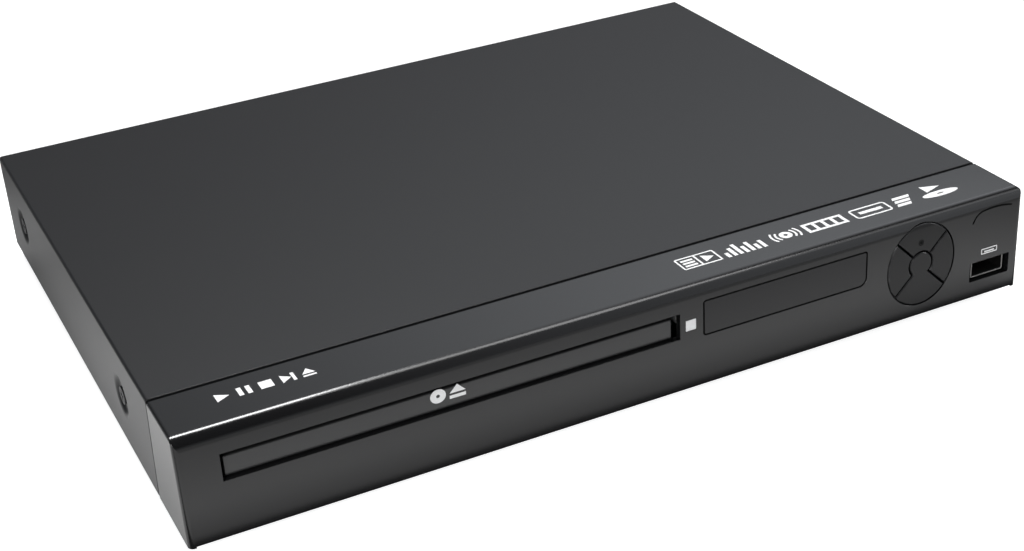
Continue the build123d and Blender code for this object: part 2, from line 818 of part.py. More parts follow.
# Port tongue: plastic insert that closes the back of the shell and carries the contacts
with BuildPart() as port_tongue:
    insert_half = port_shell_width / 2 - port_shell_wall
    insert_rise = port_shell_height / 2 - port_shell_wall
    block(
        (shell_x - insert_half + 0.3, shell_x + insert_half - 0.3),
        (shell_y[1] - 3, shell_y[1]),
        (shell_z - insert_rise + 0.3, shell_z + insert_rise - 0.3),
    )
    block(
        (shell_x - 5.5, shell_x + 5.5),
        (at(port_set_back + tongue_set_back), shell_y[1] - 3),
        (shell_z + 0.2, shell_z + 2.0),
    )
port_tongue.part.label = "port_tongue"
export_step(port_tongue.part, "parts/port_tongue.step")

# Feet: round soles with a peg through the pan
for foot_name, (x, y) in feet.items():
    with BuildPart() as foot:
        post(x, y, (0, foot_height), foot_radius)
        fillet(foot.edges().filter_by(GeomType.CIRCLE).sort_by(Axis.Z)[0], 1.2)
        post(x, y, (foot_height, pan_top + 1.6), foot_peg_radius)
        post(x, y, (0, 0.8), foot_radius * 0.45, Mode.SUBTRACT)
    foot.part.label = foot_name
    export_step(foot.part, f"parts/{foot_name}.step")


def screw(head_plane, head_radius=screw_head_radius, length=screw_length):
    """Pan-head screw with a cross recess; the plane lies under the head and faces out of it."""
    with BuildSketch(head_plane) as head:
        Circle(head_radius)
    extrude(head.sketch, amount=screw_head_height)
    with BuildSketch(head_plane) as shank:
        Circle(screw_shank_radius)
    extrude(shank.sketch, amount=-length)
    with BuildSketch(head_plane.offset(screw_head_height)) as cross:
        Rectangle(head_radius * 1.1, head_radius * 0.26)
        Rectangle(head_radius * 0.26, head_radius * 1.1)
    extrude(cross.sketch, amount=-screw_head_height * 0.6, mode=Mode.SUBTRACT)


# Cover screws: two in the dimples of each side and three through the rear lip
with BuildPart() as cover_screws:
    for side in (-1, 1):
        for y, z in side_screws:
            seat_x = side * (half_width - dimple_depth)
            screw(Plane(origin=(seat_x, y, z), x_dir=(0, 1, 0), z_dir=(side, 0, 0)))
    for x in rear_screw_xs:
        screw(Plane(origin=(x, rear_y, rear_screw_z), x_dir=(1, 0, 0), z_dir=(0, 1, 0)))
cover_screws.part.label = "cover_screws"
export_step(cover_screws.part, "parts/cover_screws.step")

# Disc tray: shallow dish with two recesses, open to the rear so that the turntable can pass
tray_front = at(door_recess + door_thickness)
tray_back = tray_front + tray_length
spindle_y = at(spindle_depth)
floor_z = tray_top - disc_depth
rack_y = (tray_front + 2, tray_back - 1)
with BuildPart() as disc_tray:
    block((loader_x - tray_half, loader_x + tray_half), (tray_front, tray_back), (tray_plate_z, tray_top))
    fillet(disc_tray.edges().filter_by(Axis.Z).group_by(Axis.Y)[-1], 4)
    post(loader_x, spindle_y, (floor_z, tray_top), disc_radius, Mode.SUBTRACT)
    post(loader_x, spindle_y, (floor_z - small_disc_depth, floor_z), small_disc_radius, Mode.SUBTRACT)
    post(loader_x, spindle_y, (tray_plate_z, tray_top), hub_hole_radius, Mode.SUBTRACT)
    block(
        (loader_x - tray_slot_half, loader_x + tray_slot_half),
        (spindle_y, tray_back),
        (tray_plate_z, tray_top),
        Mode.SUBTRACT,
    )
    # Finger notches at the sides of the recess
    for side in (-1, 1):
        post(loader_x + side * disc_radius * 0.72, spindle_y - disc_radius * 0.72,
             (floor_z, tray_top), 9, Mode.SUBTRACT)
    for side in (-1, 1):
        rail = sorted((loader_x + side * tray_half, loader_x + side * (tray_half - 4)))
        block(rail, (tray_front, tray_back - 4), (tray_z, tray_plate_z))
    rack(loader_x + rack_x, loader_x + rack_x + rack_width, rack_y, (tray_z, tray_plate_z), rack_module,
         at(tray_gear_depth))
disc_tray.part.label = "disc_tray"
export_step(disc_tray.part, "parts/disc_tray.step")

# Tray door: bar clipped across the front of the tray
with BuildPart() as tray_door:
    block(
        (loader_x - door_width / 2, loader_x + door_width / 2),
        (at(door_recess), at(door_recess + door_thickness)),
        (door_z, door_z + door_height),
    )
    front_edges = tray_door.faces().sort_by(Axis.Y)[0].edges()
    fillet(front_edges, 0.3)
tray_door.part.label = "tray_door"
export_step(tray_door.part, "parts/tray_door.step")

# Loader frame: side walls with ledges, gear deck in front, rails below and ears for the lift frame
tray_gear_x = loader_x + rack_x - rack_module * tray_gear_teeth / 2
tray_gear_y = at(tray_gear_depth)
pulley_x = tray_gear_x - fine_module * (tray_wheel_teeth + pulley_pinion_teeth) / 2
motor_x = loader_x + loading_motor_x
motor_y = at(loading_motor_depth)
post_radius = 1.5
rear_bar = 2.0
ear_thickness = 3.4
ear_start = lift_half_width + 0.6
cross_y = (at(cam_depth) - cam_thickness / 2 - 2.0, at(cam_depth) + cam_thickness / 2 + 2.0)
with BuildPart() as loader_frame:
    for side in (-1, 1):
        wall = sorted((loader_x + side * loader_inner, loader_x + side * loader_outer))
        block(wall, (at(loader_front), at(loader_back)), (loader_z, loader_top))
        ledge = sorted((loader_x + side * (loader_inner - ledge_width), loader_x + side * loader_inner))
        block(ledge, (at(loader_front), at(loader_back)),
              (tray_z - loader_gap - ledge_thickness, tray_z - loader_gap))
        low_rail = sorted((loader_x + side * ear_start, loader_x + side * loader_inner))
        block(low_rail, (cross_y[0], at(loader_back)), (loader_z, rail_top))
        ear = sorted((loader_x + side * ear_start, loader_x + side * (ear_start + ear_thickness)))
        block(ear, (at(pivot_depth) - 5, at(pivot_depth) + 5), (loader_z, pivot_z + pivot_radius + 1))
        tab = sorted((loader_x + side * (loader_inner - tab_width), loader_x + side * loader_inner))
        for depth in tab_depths:
            block(tab, (at(depth), at(depth + tab_length)),
                  (tray_top + loader_gap, tray_top + loader_gap + tab_thickness))
    block((loader_x - loader_inner, loader_x + loader_inner), (at(loader_front), at(gear_deck_back)),
          (gear_deck_z, gear_deck_top))
    block((loader_x - loader_inner, loader_x + loader_inner), (at(loader_front), at(loader_front + 2)),
          (loader_z, gear_deck_z))
    block((loader_x - loader_inner, loader_x + loader_inner), cross_y, (loader_z, rail_top))
    block((loader_x - loader_inner, loader_x + loader_inner), (at(loader_back) - rear_bar, at(loader_back)),
          (loader_z, tray_z - loader_gap))
    for x in (-30, 30):
        for y in ((cross_y[0], cross_y[0] + 1.7), (cross_y[1] - 1.7, cross_y[1])):
            block((loader_x + x - 2, loader_x + x + 2), y, (rail_top, rail_top + 2.4))
    for x, y in loader_ears:
        post(x, y, (loader_z, loader_z + ear_height), pad_radius)
        post(x, y, (loader_z, loader_z + ear_height), bolt_hole, Mode.SUBTRACT)
    for x in (tray_gear_x, pulley_x):
        post(x, tray_gear_y, (gear_deck_top, tray_plate_z - 0.6), post_radius)
    post(motor_x, motor_y, (gear_deck_z, gear_deck_top), 3.5, Mode.SUBTRACT)
    pivot_span = (loader_x - ear_start - ear_thickness, loader_x + ear_start + ear_thickness)
    bar_along_x(pivot_span, at(pivot_depth), pivot_z, pivot_radius + pivot_clearance, Mode.SUBTRACT)
    for side in (-1, 1):
        post(loader_x + side * (loader_inner + loader_wall / 2), spindle_y, (loader_top - 8, loader_top),
             screw_shank_radius, Mode.SUBTRACT)
loader_frame.part.label = "loader_frame"
export_step(loader_frame.part, "parts/loader_frame.step")

# Clamp bridge: steel strap across the walls over the spindle, with a ring for the puck
bridge_z = (loader_top, loader_top + bridge_thickness)
puck_clearance = 0.6
with BuildPart() as clamp_bridge:
    block((loader_x - loader_outer, loader_x + loader_outer),
          (spindle_y - bridge_half_length * 0.6, spindle_y + bridge_half_length * 0.6), bridge_z)
    post(loader_x, spindle_y, bridge_z, bridge_half_length + 3)
    post(loader_x, spindle_y, bridge_z, puck_radius + puck_clearance, Mode.SUBTRACT)
    for side in (-1, 1):
        post(loader_x + side * (loader_inner + loader_wall / 2), spindle_y, bridge_z, screw_shank_radius,
             Mode.SUBTRACT)
        block((loader_x + side * 46 - 14, loader_x + side * 46 + 14), (spindle_y - 3, spindle_y + 3),
              (bridge_z[1], bridge_z[1] + 0.8))
clamp_bridge.part.label = "clamp_bridge"
export_step(clamp_bridge.part, "parts/clamp_bridge.step")

# Clamp puck: hangs in the ring by its flange, over the turntable's cone
puck_low = disc_z + 1.4
puck_seat = bridge_z[1] + loader_gap
with BuildPart() as clamp_puck:
    post(loader_x, spindle_y, (puck_low, puck_seat), puck_radius)
    post(loader_x, spindle_y, (puck_seat, puck_seat + 1.2), puck_flange)
    post(loader_x, spindle_y, (puck_seat + 1.2, puck_seat + 1.8), 6)
    post(loader_x, spindle_y, (puck_low, puck_low + 1.6), hub_radius + 1.2, Mode.SUBTRACT)
clamp_puck.part.label = "clamp_puck"
export_step(clamp_puck.part, "parts/clamp_puck.step")

# Lift frame: plastic ring that tips on two rear pivots, with two pins in the cam slide
cam_pin_front = at(cam_depth) - cam_thickness / 2 - 0.7
with BuildPart() as lift_frame:
    block((loader_x - lift_half_width, loader_x + lift_half_width), (at(lift_front), at(lift_back)),
          (lift_z, lift_top))
    block((loader_x - lift_half_width + lift_rail, loader_x + lift_half_width - lift_rail),
          (at(lift_front + 5), at(lift_back - 3.4)), (lift_z, lift_top), Mode.SUBTRACT)
    pivot_end = lift_half_width + 0.6 + pivot_length
    for side in (-1, 1):
        bar_along_x(sorted((loader_x + side * (lift_half_width - 2), loader_x + side * pivot_end)),
                    at(pivot_depth), pivot_z, pivot_radius)
        bar_along_y(loader_x + side * cam_pin_x, (cam_pin_front, at(lift_front + 2)), pivot_z,
                    cam_pin_radius)
    for x in (-grommet_x, grommet_x):
        for depth in (grommet_front, grommet_back):
            post(loader_x + x, at(depth), (lift_z, lift_top), shoulder_radius, Mode.SUBTRACT)
lift_frame.part.label = "lift_frame"
export_step(lift_frame.part, "parts/lift_frame.step")

# Cam slide: upright plate whose sloping slots lower the lift frame's pins
pin_drop = (pivot_depth - cam_depth) * sin(radians(lift_angle))
slot_half = cam_pin_radius + cam_clearance
cam_low = rail_top + loader_gap
cam_y = (at(cam_depth) - cam_thickness / 2, at(cam_depth) + cam_thickness / 2)
with BuildPart() as cam_slide:
    block((loader_x - cam_pin_x - cam_travel - 4, loader_x + cam_pin_x + 4), cam_y, (cam_low, pivot_z + 5))
    for x in (-cam_pin_x, cam_pin_x):
        with BuildSketch(upright(cam_y[1])) as slope:
            with Locations((loader_x + x, pivot_z), (loader_x + x - cam_travel, pivot_z - pin_drop)):
                Circle(slot_half)
            make_hull()
        extrude(slope.sketch, amount=cam_thickness, mode=Mode.SUBTRACT)
cam_slide.part.label = "cam_slide"
export_step(cam_slide.part, "parts/cam_slide.step")

# Deck plate: steel sheet with the pickup's window, rod holders below and the sled wheel's pin
window_front = at(spindle_depth) + 14.9
holder_half = 2.6
rod_z = deck_z - rod_drop
rod_ends = (at(87), at(pickup_front + pickup_length + pickup_travel) + 6)
sled_x = loader_x + sled_rack_x + sled_module * sled_gear_teeth / 2
sled_y = at(sled_depth)
gear_reach = sled_module * (sled_wheel_teeth + sled_pinion_teeth) / 2
pinion_x = loader_x + sled_motor_x
pinion_y = sled_y + (gear_reach ** 2 - (pinion_x - sled_x) ** 2) ** 0.5
sled_motor_z = (deck_z - 10, deck_z)
with BuildPart() as deck_plate:
    block((loader_x - lift_half_width, loader_x + lift_half_width), (at(deck_front), at(deck_back)),
          (deck_z, deck_top))
    block((loader_x - pickup_half - 1.5, loader_x + pickup_half + 1.5), (window_front, rod_ends[1] - 3),
          (deck_z, deck_top), Mode.SUBTRACT)
    for x in (-rod_x, rod_x):
        for y in (rod_ends[0] + 2, rod_ends[1] - 1.5):
            block((loader_x + x - holder_half, loader_x + x + holder_half), (y - 2, y + 2),
                  (rod_z - holder_half, deck_z))
        bar_along_y(loader_x + x, rod_ends, rod_z, rod_radius, Mode.SUBTRACT)
    for x in (-grommet_x, grommet_x):
        for depth in (grommet_front, grommet_back):
            post(loader_x + x, at(depth), (deck_z, deck_top), grommet_neck, Mode.SUBTRACT)
    post(sled_x, sled_y, (deck_top, deck_top + 3.4), 1.0)
    post(pinion_x, pinion_y, (deck_z, deck_top), 1.6, Mode.SUBTRACT)
deck_plate.part.label = "deck_plate"
export_step(deck_plate.part, "parts/deck_plate.step")

# Deck grommets: four rubber bushes that carry the deck plate on the lift frame
grommet_cap = 1.2
with BuildPart() as deck_grommets:
    for x in (-grommet_x, grommet_x):
        for depth in (grommet_front, grommet_back):
            post(loader_x + x, at(depth), (lift_top, deck_z), grommet_radius)
            post(loader_x + x, at(depth), (deck_z, deck_top), grommet_neck)
            post(loader_x + x, at(depth), (deck_top, deck_top + grommet_cap), grommet_radius)
            post(loader_x + x, at(depth), (lift_top, deck_top + grommet_cap), shoulder_radius, Mode.SUBTRACT)
deck_grommets.part.label = "deck_grommets"
export_step(deck_grommets.part, "parts/deck_grommets.step")

# Deck screws: shoulder screws through the grommets into the lift frame
with BuildPart() as deck_screws:
    for x in (-grommet_x, grommet_x):
        for depth in (grommet_front, grommet_back):
            head_z = deck_top + grommet_cap
            post(loader_x + x, at(depth), (lift_z, head_z), shoulder_radius)
            post(loader_x + x, at(depth), (head_z, head_z + 1.2), 3.0)
            for size in ((3.2, 0.8), (0.8, 3.2)):
                with Locations((loader_x + x, at(depth), head_z + 0.9)):
                    Box(size[0], size[1], 0.6, mode=Mode.SUBTRACT)
deck_screws.part.label = "deck_screws"
export_step(deck_screws.part, "parts/deck_screws.step")

# Guide rods: two ground steel rods for the pickup
with BuildPart() as guide_rods:
    for x in (-rod_x, rod_x):
        bar_along_y(loader_x + x, rod_ends, rod_z, rod_radius)
guide_rods.part.label = "guide_rods"
export_step(guide_rods.part, "parts/guide_rods.step")

# Spindle stator: mounting plate, wound core and bearing sleeve
shaft_radius = 1.0
shaft_clearance = 0.04
core_gap = 0.4
stator_base = 0.8
rotor_roof = 1.2
turntable_thickness = 1.6
pad_thickness = 0.4
turntable_z = (disc_z - pad_thickness - turntable_thickness, disc_z - pad_thickness)
rotor_top = turntable_z[0]
core_top = rotor_top - rotor_roof - core_gap
with BuildPart() as spindle_stator:
    post(loader_x, spindle_y, (deck_top, deck_top + stator_base), 14.5)
    post(loader_x, spindle_y, (deck_top + stator_base, core_top), 4)
    arm_z = (deck_top + stator_base + core_top) / 2
    for arm in range(9):
        with Locations(Location((loader_x, spindle_y, arm_z), (0, 0, arm * 40))):
            with Locations((7.6, 0, 0)):
                Box(7.4, 2.6, core_top - deck_top - stator_base)
    post(loader_x, spindle_y, (deck_top, core_top), shaft_radius + shaft_clearance, Mode.SUBTRACT)
spindle_stator.part.label = "spindle_stator"
export_step(spindle_stator.part, "parts/spindle_stator.step")

# Spindle rotor: steel cup over the core, with its shaft
with BuildPart() as spindle_rotor:
    post(loader_x, spindle_y, (deck_top + stator_base + core_gap, rotor_top), rotor_radius)
    post(loader_x, spindle_y, (deck_top + stator_base + core_gap, rotor_top - rotor_roof), rotor_radius - 1,
         Mode.SUBTRACT)
    post(loader_x, spindle_y, (deck_top + 0.3, rotor_top - rotor_roof), shaft_radius)
spindle_rotor.part.label = "spindle_rotor"
export_step(spindle_rotor.part, "parts/spindle_rotor.step")

# Turntable: plastic disc seat with a centring cone
cone_height = 2.2
with BuildPart() as turntable:
    post(loader_x, spindle_y, turntable_z, turntable_radius)
    post(loader_x, spindle_y, (turntable_z[1], disc_z + cone_height - 0.6), hub_radius)
    with Locations((loader_x, spindle_y, disc_z + cone_height - 0.3)):
        Cone(hub_radius, hub_radius - 1.6, 0.6)
turntable.part.label = "turntable"
export_step(turntable.part, "parts/turntable.step")

# Turntable pad: rubber ring that grips the disc
with BuildPart() as turntable_pad:
    post(loader_x, spindle_y, (turntable_z[1], disc_z), turntable_radius - 0.3)
    post(loader_x, spindle_y, (turntable_z[1], disc_z), hub_radius + 2.4, Mode.SUBTRACT)
turntable_pad.part.label = "turntable_pad"
export_step(turntable_pad.part, "parts/turntable_pad.step")

# Pickup body: die-cast sledge on the two rods
pickup_y = (at(pickup_front), at(pickup_front + pickup_length))
lens_y = spindle_y + lens_radius_at_rest
pickup_low = rod_z - 4
pickup_top = tray_plate_z - 1.0
with BuildPart() as pickup_body:
    block((loader_x - pickup_half, loader_x + pickup_half), pickup_y, (rod_z + 1, deck_top + 0.6))
    block((loader_x - 12, loader_x + 12), (pickup_y[0], pickup_y[1]), (pickup_low, pickup_top))
    for x in (-rod_x, rod_x):
        bar_along_y(loader_x + x, pickup_y, rod_z, rod_radius + 1.6)
    for x in (-rod_x, rod_x):
        bar_along_y(loader_x + x, pickup_y, rod_z, rod_radius + rod_clearance, Mode.SUBTRACT)
    post(loader_x, lens_y, (pickup_top - 2, pickup_top), 6.0, Mode.SUBTRACT)
pickup_body.part.label = "pickup_body"
export_step(pickup_body.part, "parts/pickup_body.step")

# Pickup lens: moulded lens in its round holder, seated in the sledge
with BuildPart() as pickup_lens:
    post(loader_x, lens_y, (pickup_top - 2, pickup_top + 0.6), 5.6)
    with Locations((loader_x, lens_y, pickup_top + 0.6)):
        Cone(3.0, 1.8, 0.7, align=(Align.CENTER, Align.CENTER, Align.MIN))
pickup_lens.part.label = "pickup_lens"
export_step(pickup_lens.part, "parts/pickup_lens.step")

# Pickup rack: toothed strip screwed to the side of the sledge
rack_z = (deck_top + 0.4, deck_top + 2.0)
with BuildPart() as pickup_rack:
    rack(loader_x + sled_rack_x, loader_x + pickup_half, (sled_y - pickup_travel - 4, sled_y + 5.6), rack_z,
         sled_module, sled_y)
    block((loader_x + 12, loader_x + pickup_half), (pickup_y[0] + 2, pickup_y[1] - 2),
          (rack_z[0] + 0.2, rack_z[1]))
pickup_rack.part.label = "pickup_rack"
export_step(pickup_rack.part, "parts/pickup_rack.step")

# Sled gear: small wheel in the rack under a large wheel driven by the motor
wheel_z = (rack_z[1] + 0.2, rack_z[1] + 1.4)
to_pinion = degrees(atan2(pinion_y - sled_y, pinion_x - sled_x))
with BuildPart() as sled_gear:
    gear(sled_x, sled_y, (deck_top + 0.2, wheel_z[0]), sled_gear_teeth, sled_module, 180)
    gear(sled_x, sled_y, wheel_z, sled_wheel_teeth, sled_module, to_pinion)
    post(sled_x, sled_y, (deck_top, wheel_z[1]), 1.0 + shaft_clearance, Mode.SUBTRACT)
sled_gear.part.label = "sled_gear"
export_step(sled_gear.part, "parts/sled_gear.step")

# Sled pinion: brass pinion and rotor shaft of the sled motor
with BuildPart() as sled_pinion:
    gear(pinion_x, pinion_y, wheel_z, sled_pinion_teeth, sled_module,
         to_pinion + 180 + 180 / sled_pinion_teeth)
    post(pinion_x, pinion_y, (deck_z - 4, wheel_z[1]), 0.75)
sled_pinion.part.label = "sled_pinion"
export_step(sled_pinion.part, "parts/sled_pinion.step")

# Sled motor: can under the deck plate
with BuildPart() as sled_motor:
    post(pinion_x, pinion_y, sled_motor_z, sled_motor_radius)
    post(pinion_x, pinion_y, (deck_z - 5, deck_z), 0.75 + shaft_clearance, Mode.SUBTRACT)
sled_motor.part.label = "sled_motor"
export_step(sled_motor.part, "parts/sled_motor.step")

# Loading motor: flat can under the gear deck
with BuildPart() as loading_motor:
    post(motor_x, motor_y, (pan_top + 0.6, gear_deck_z), loading_motor_radius)
    post(motor_x, motor_y, (gear_deck_z, gear_deck_top - 0.2), 3.2)
    post(motor_x, motor_y, (gear_deck_z - 4, gear_deck_top), 1.0 + shaft_clearance, Mode.SUBTRACT)
loading_motor.part.label = "loading_motor"
export_step(loading_motor.part, "parts/loading_motor.step")

# Drive pulleys, belt and wheels above the gear deck, stacked from the deck up
pulley_z = gear_deck_top + 0.4
belt_z = (pulley_z + 0.6, pulley_z + 0.6 + belt_thickness)
pulley_top = belt_z[1] + 0.6


def pulley(x, y, belt_radius):
    """Grooved wheel whose groove clears the inside of the belt."""
    post(x, y, (pulley_z, pulley_top), belt_radius + pulley_flange)
    with BuildSketch(Plane((x, y, belt_z[0] - belt_clearance))) as groove:
        Circle(belt_radius + pulley_flange)
        Circle(belt_radius - belt_clearance, mode=Mode.SUBTRACT)
    extrude(groove.sketch, amount=belt_thickness + 2 * belt_clearance, mode=Mode.SUBTRACT)


with BuildPart() as motor_pulley:
    pulley(motor_x, motor_y, motor_belt_radius)
    post(motor_x, motor_y, (gear_deck_z - 3, pulley_z), 1.0)
motor_pulley.part.label = "motor_pulley"
export_step(motor_pulley.part, "parts/motor_pulley.step")

pinion_z = (pulley_top, pulley_top + 2.0)
with BuildPart() as pulley_gear:
    pulley(pulley_x, tray_gear_y, pulley_belt_radius)
    gear(pulley_x, tray_gear_y, pinion_z, pulley_pinion_teeth, fine_module, 180 / pulley_pinion_teeth)
    post(pulley_x, tray_gear_y, (pulley_z, pinion_z[1]), post_radius + shaft_clearance, Mode.SUBTRACT)
pulley_gear.part.label = "pulley_gear"
export_step(pulley_gear.part, "parts/pulley_gear.step")

wheel_low = pulley_top + 0.2
with BuildPart() as tray_gear:
    gear(tray_gear_x, tray_gear_y, (wheel_low, wheel_low + 1.6), tray_wheel_teeth, fine_module, 180)
    gear(tray_gear_x, tray_gear_y, (wheel_low + 1.6, tray_plate_z - loader_gap), tray_gear_teeth,
         rack_module, 0)
    post(tray_gear_x, tray_gear_y, (wheel_low, tray_plate_z), post_radius + shaft_clearance, Mode.SUBTRACT)
tray_gear.part.label = "tray_gear"
export_step(tray_gear.part, "parts/tray_gear.step")

with BuildPart() as drive_belt:
    for grow, mode in ((belt_thickness, Mode.ADD), (0, Mode.SUBTRACT)):
        with BuildSketch(Plane.XY.offset(belt_z[0])) as loop:
            with Locations((motor_x, motor_y)):
                Circle(motor_belt_radius + grow)
            with Locations((pulley_x, tray_gear_y)):
                Circle(pulley_belt_radius + grow)
            make_hull()
        extrude(loop.sketch, amount=belt_thickness, mode=mode)
drive_belt.part.label = "drive_belt"
export_step(drive_belt.part, "parts/drive_belt.step")

# Tray switch: small limit switch on the gear deck
with BuildPart() as tray_switch:
    block((loader_x - 46, loader_x - 38), (at(12), at(17)), (gear_deck_top, gear_deck_top + 3.6))
    block((loader_x - 45.5, loader_x - 44.5), (at(10.5), at(12)), (gear_deck_top + 1, gear_deck_top + 3.2))
tray_switch.part.label = "tray_switch"
export_step(tray_switch.part, "parts/tray_switch.step")

# Chassis screws: through the loader's ears, the bridge and the boards
with BuildPart() as chassis_screws:
    for x, y in loader_ears:
        screw(Plane((x, y, loader_z + ear_height)), length=loader_foot + sheet + ear_height)
    for side in (-1, 1):
        screw(Plane((loader_x + side * (loader_inner + loader_wall / 2), spindle_y, bridge_z[1])),
              head_radius=loader_wall / 2, length=6)
    for x, y in main_standoffs + power_standoffs:
        screw(Plane((x, y, board_face)))
    for x, z in front_bosses:
        board_rear = at(front_board_depth + board_thickness)
        screw(Plane(origin=(x, board_rear, z), x_dir=(1, 0, 0), z_dir=(0, 1, 0)))
chassis_screws.part.label = "chassis_screws"
export_step(chassis_screws.part, "parts/chassis_screws.step")

# Main board with its screw holes
with BuildPart() as main_board:
    block((main_board_left, main_board_right), (main_board_front, board_back), (board_z, board_face))
    for x, y in main_standoffs:
        post(x, y, (board_z, board_face), bolt_hole, Mode.SUBTRACT)
main_board.part.label = "main_board"
export_step(main_board.part, "parts/main_board.step")

# Chips, capacitors and ribbon sockets on the main board, laid out by its width
board_width = main_board_right - main_board_left
chip_half = 10.0
chip_height = 1.6
chip_x = main_board_left + 0.51 * board_width
chip_y = main_board_front + main_board_length / 3
can_height = 8.0
can_radius = 3.2
ribbon_half = 9.0
ribbon_x = main_board_left + ribbon_half + 7.7
socket_height = 5.0
socket_depth = 4.0
power_depth = board_back - power_board_front
power_y = power_board_front + power_depth / 2
harness_y = power_y - 0.1 * power_depth
harness_half = 0.1 * power_depth
with BuildPart() as board_parts:
    block((chip_x - chip_half, chip_x + chip_half), (chip_y - chip_half, chip_y + chip_half),
          (board_face, board_face + chip_height))
    block((chip_x - 0.333 * board_width, chip_x - 0.235 * board_width),
          (chip_y - chip_half, chip_y + 0.8 * chip_half), (board_face, board_face + 0.75 * chip_height))
    block((chip_x + 0.196 * board_width, chip_x + 0.275 * board_width), (chip_y - 14, chip_y - 6),
          (board_face, board_face + chip_height))
    for across, along in ((-0.176, 18), (-0.04, 22), (0.235, 12)):
        post(chip_x + across * board_width, chip_y + along, (board_face, board_face + can_height),
             can_radius)
    block((ribbon_x - ribbon_half - 1, ribbon_x + ribbon_half + 1),
          (main_board_front + 1, main_board_front + 1 + socket_depth),
          (board_face, board_face + socket_height))
    block((main_board_left + 1, main_board_left + 1 + socket_depth),
          (harness_y - harness_half, harness_y + harness_half), (board_face, board_face + socket_height))
board_parts.part.label = "board_parts"
export_step(board_parts.part, "parts/board_parts.step")

# Heat sink: finned block on the decoder chip
sink_half = 9.0
sink_base = 1.8
sink_height = 8.0
fin_count = 7
fin_thickness = 1.0
sink_z = board_face + chip_height
with BuildPart() as heat_sink:
    block((chip_x - sink_half, chip_x + sink_half), (chip_y - sink_half, chip_y + sink_half),
          (sink_z, sink_z + sink_base))
    fin_pitch = (2 * sink_half - fin_thickness) / (fin_count - 1)
    for fin in range(fin_count):
        fin_left = chip_x - sink_half + fin * fin_pitch
        block((fin_left, fin_left + fin_thickness), (chip_y - sink_half, chip_y + sink_half),
              (sink_z + sink_base, sink_z + sink_height))
heat_sink.part.label = "heat_sink"
export_step(heat_sink.part, "parts/heat_sink.step")

# Jack block: moulded housing behind the panel with a collar round each barrel
jack_block_y = (panel_y - sheet - jack_block_depth, panel_y - sheet)
with BuildPart() as jack_block:
    block((jack_xs[0] - jack_pitch / 2, jack_xs[-1] + jack_pitch / 2), jack_block_y,
          (board_face, jack_z + jack_root + jack_pitch / 8))
    for x in jack_xs:
        bar_along_y(x, (jack_block_y[1] - jack_seat, jack_block_y[1]), jack_z, jack_root, Mode.SUBTRACT)
jack_block.part.label = "jack_block"
export_step(jack_block.part, "parts/jack_block.step")

# Jack barrels: plated sleeves for round plugs, shouldered in the panel and open at the back
jack_mouth = rear_y + jack_reach
jack_floor = jack_block_y[1] - jack_seat / 3
with BuildPart() as jack_barrels:
    for x in jack_xs:
        bar_along_y(x, (jack_block_y[1] - jack_seat, rear_y), jack_z, jack_root)
        bar_along_y(x, (rear_y, jack_mouth), jack_z, jack_barrel_radius)
        bar_along_y(x, (jack_floor, jack_mouth), jack_z, jack_barrel_radius - jack_wall, Mode.SUBTRACT)
jack_barrels.part.label = "jack_barrels"
export_step(jack_barrels.part, "parts/jack_barrels.step")

# Jack inserts: coloured plastic rings inside the barrels
insert_mouth = jack_mouth - jack_wall
with BuildPart() as jack_inserts:
    for x in jack_xs:
        bar_along_y(x, (jack_floor, insert_mouth), jack_z, jack_barrel_radius - jack_wall)
        bar_along_y(x, (jack_floor + 1, insert_mouth), jack_z, jack_bore_radius, Mode.SUBTRACT)
jack_inserts.part.label = "jack_inserts"
export_step(jack_inserts.part, "parts/jack_inserts.step")

# Digital video socket: shell with a set-back tongue
with BuildPart() as video_socket:
    video_y = (panel_y - 12, rear_y)
    block((video_x - video_width / 2, video_x + video_width / 2), video_y,
          (video_z - video_height / 2, video_z + video_height / 2))
    block((video_x - video_width / 2 + 0.5, video_x + video_width / 2 - 0.5), (video_y[0] + 3, video_y[1]),
          (video_z - video_height / 2 + 0.6, video_z + video_height / 2 - 0.5), Mode.SUBTRACT)
    block((video_x - 5.5, video_x + 5.5), (video_y[0] + 2, video_y[1] - 5), (video_z - 0.6, video_z + 0.6))
video_socket.part.label = "video_socket"
export_step(video_socket.part, "parts/video_socket.step")

# Power board behind the loader
with BuildPart() as power_board:
    block((power_board_left, power_board_right), (power_board_front, board_back), (board_z, board_face))
    for x, y in power_standoffs:
        post(x, y, (board_z, board_face), bolt_hole, Mode.SUBTRACT)
power_board.part.label = "power_board"
export_step(power_board.part, "parts/power_board.step")

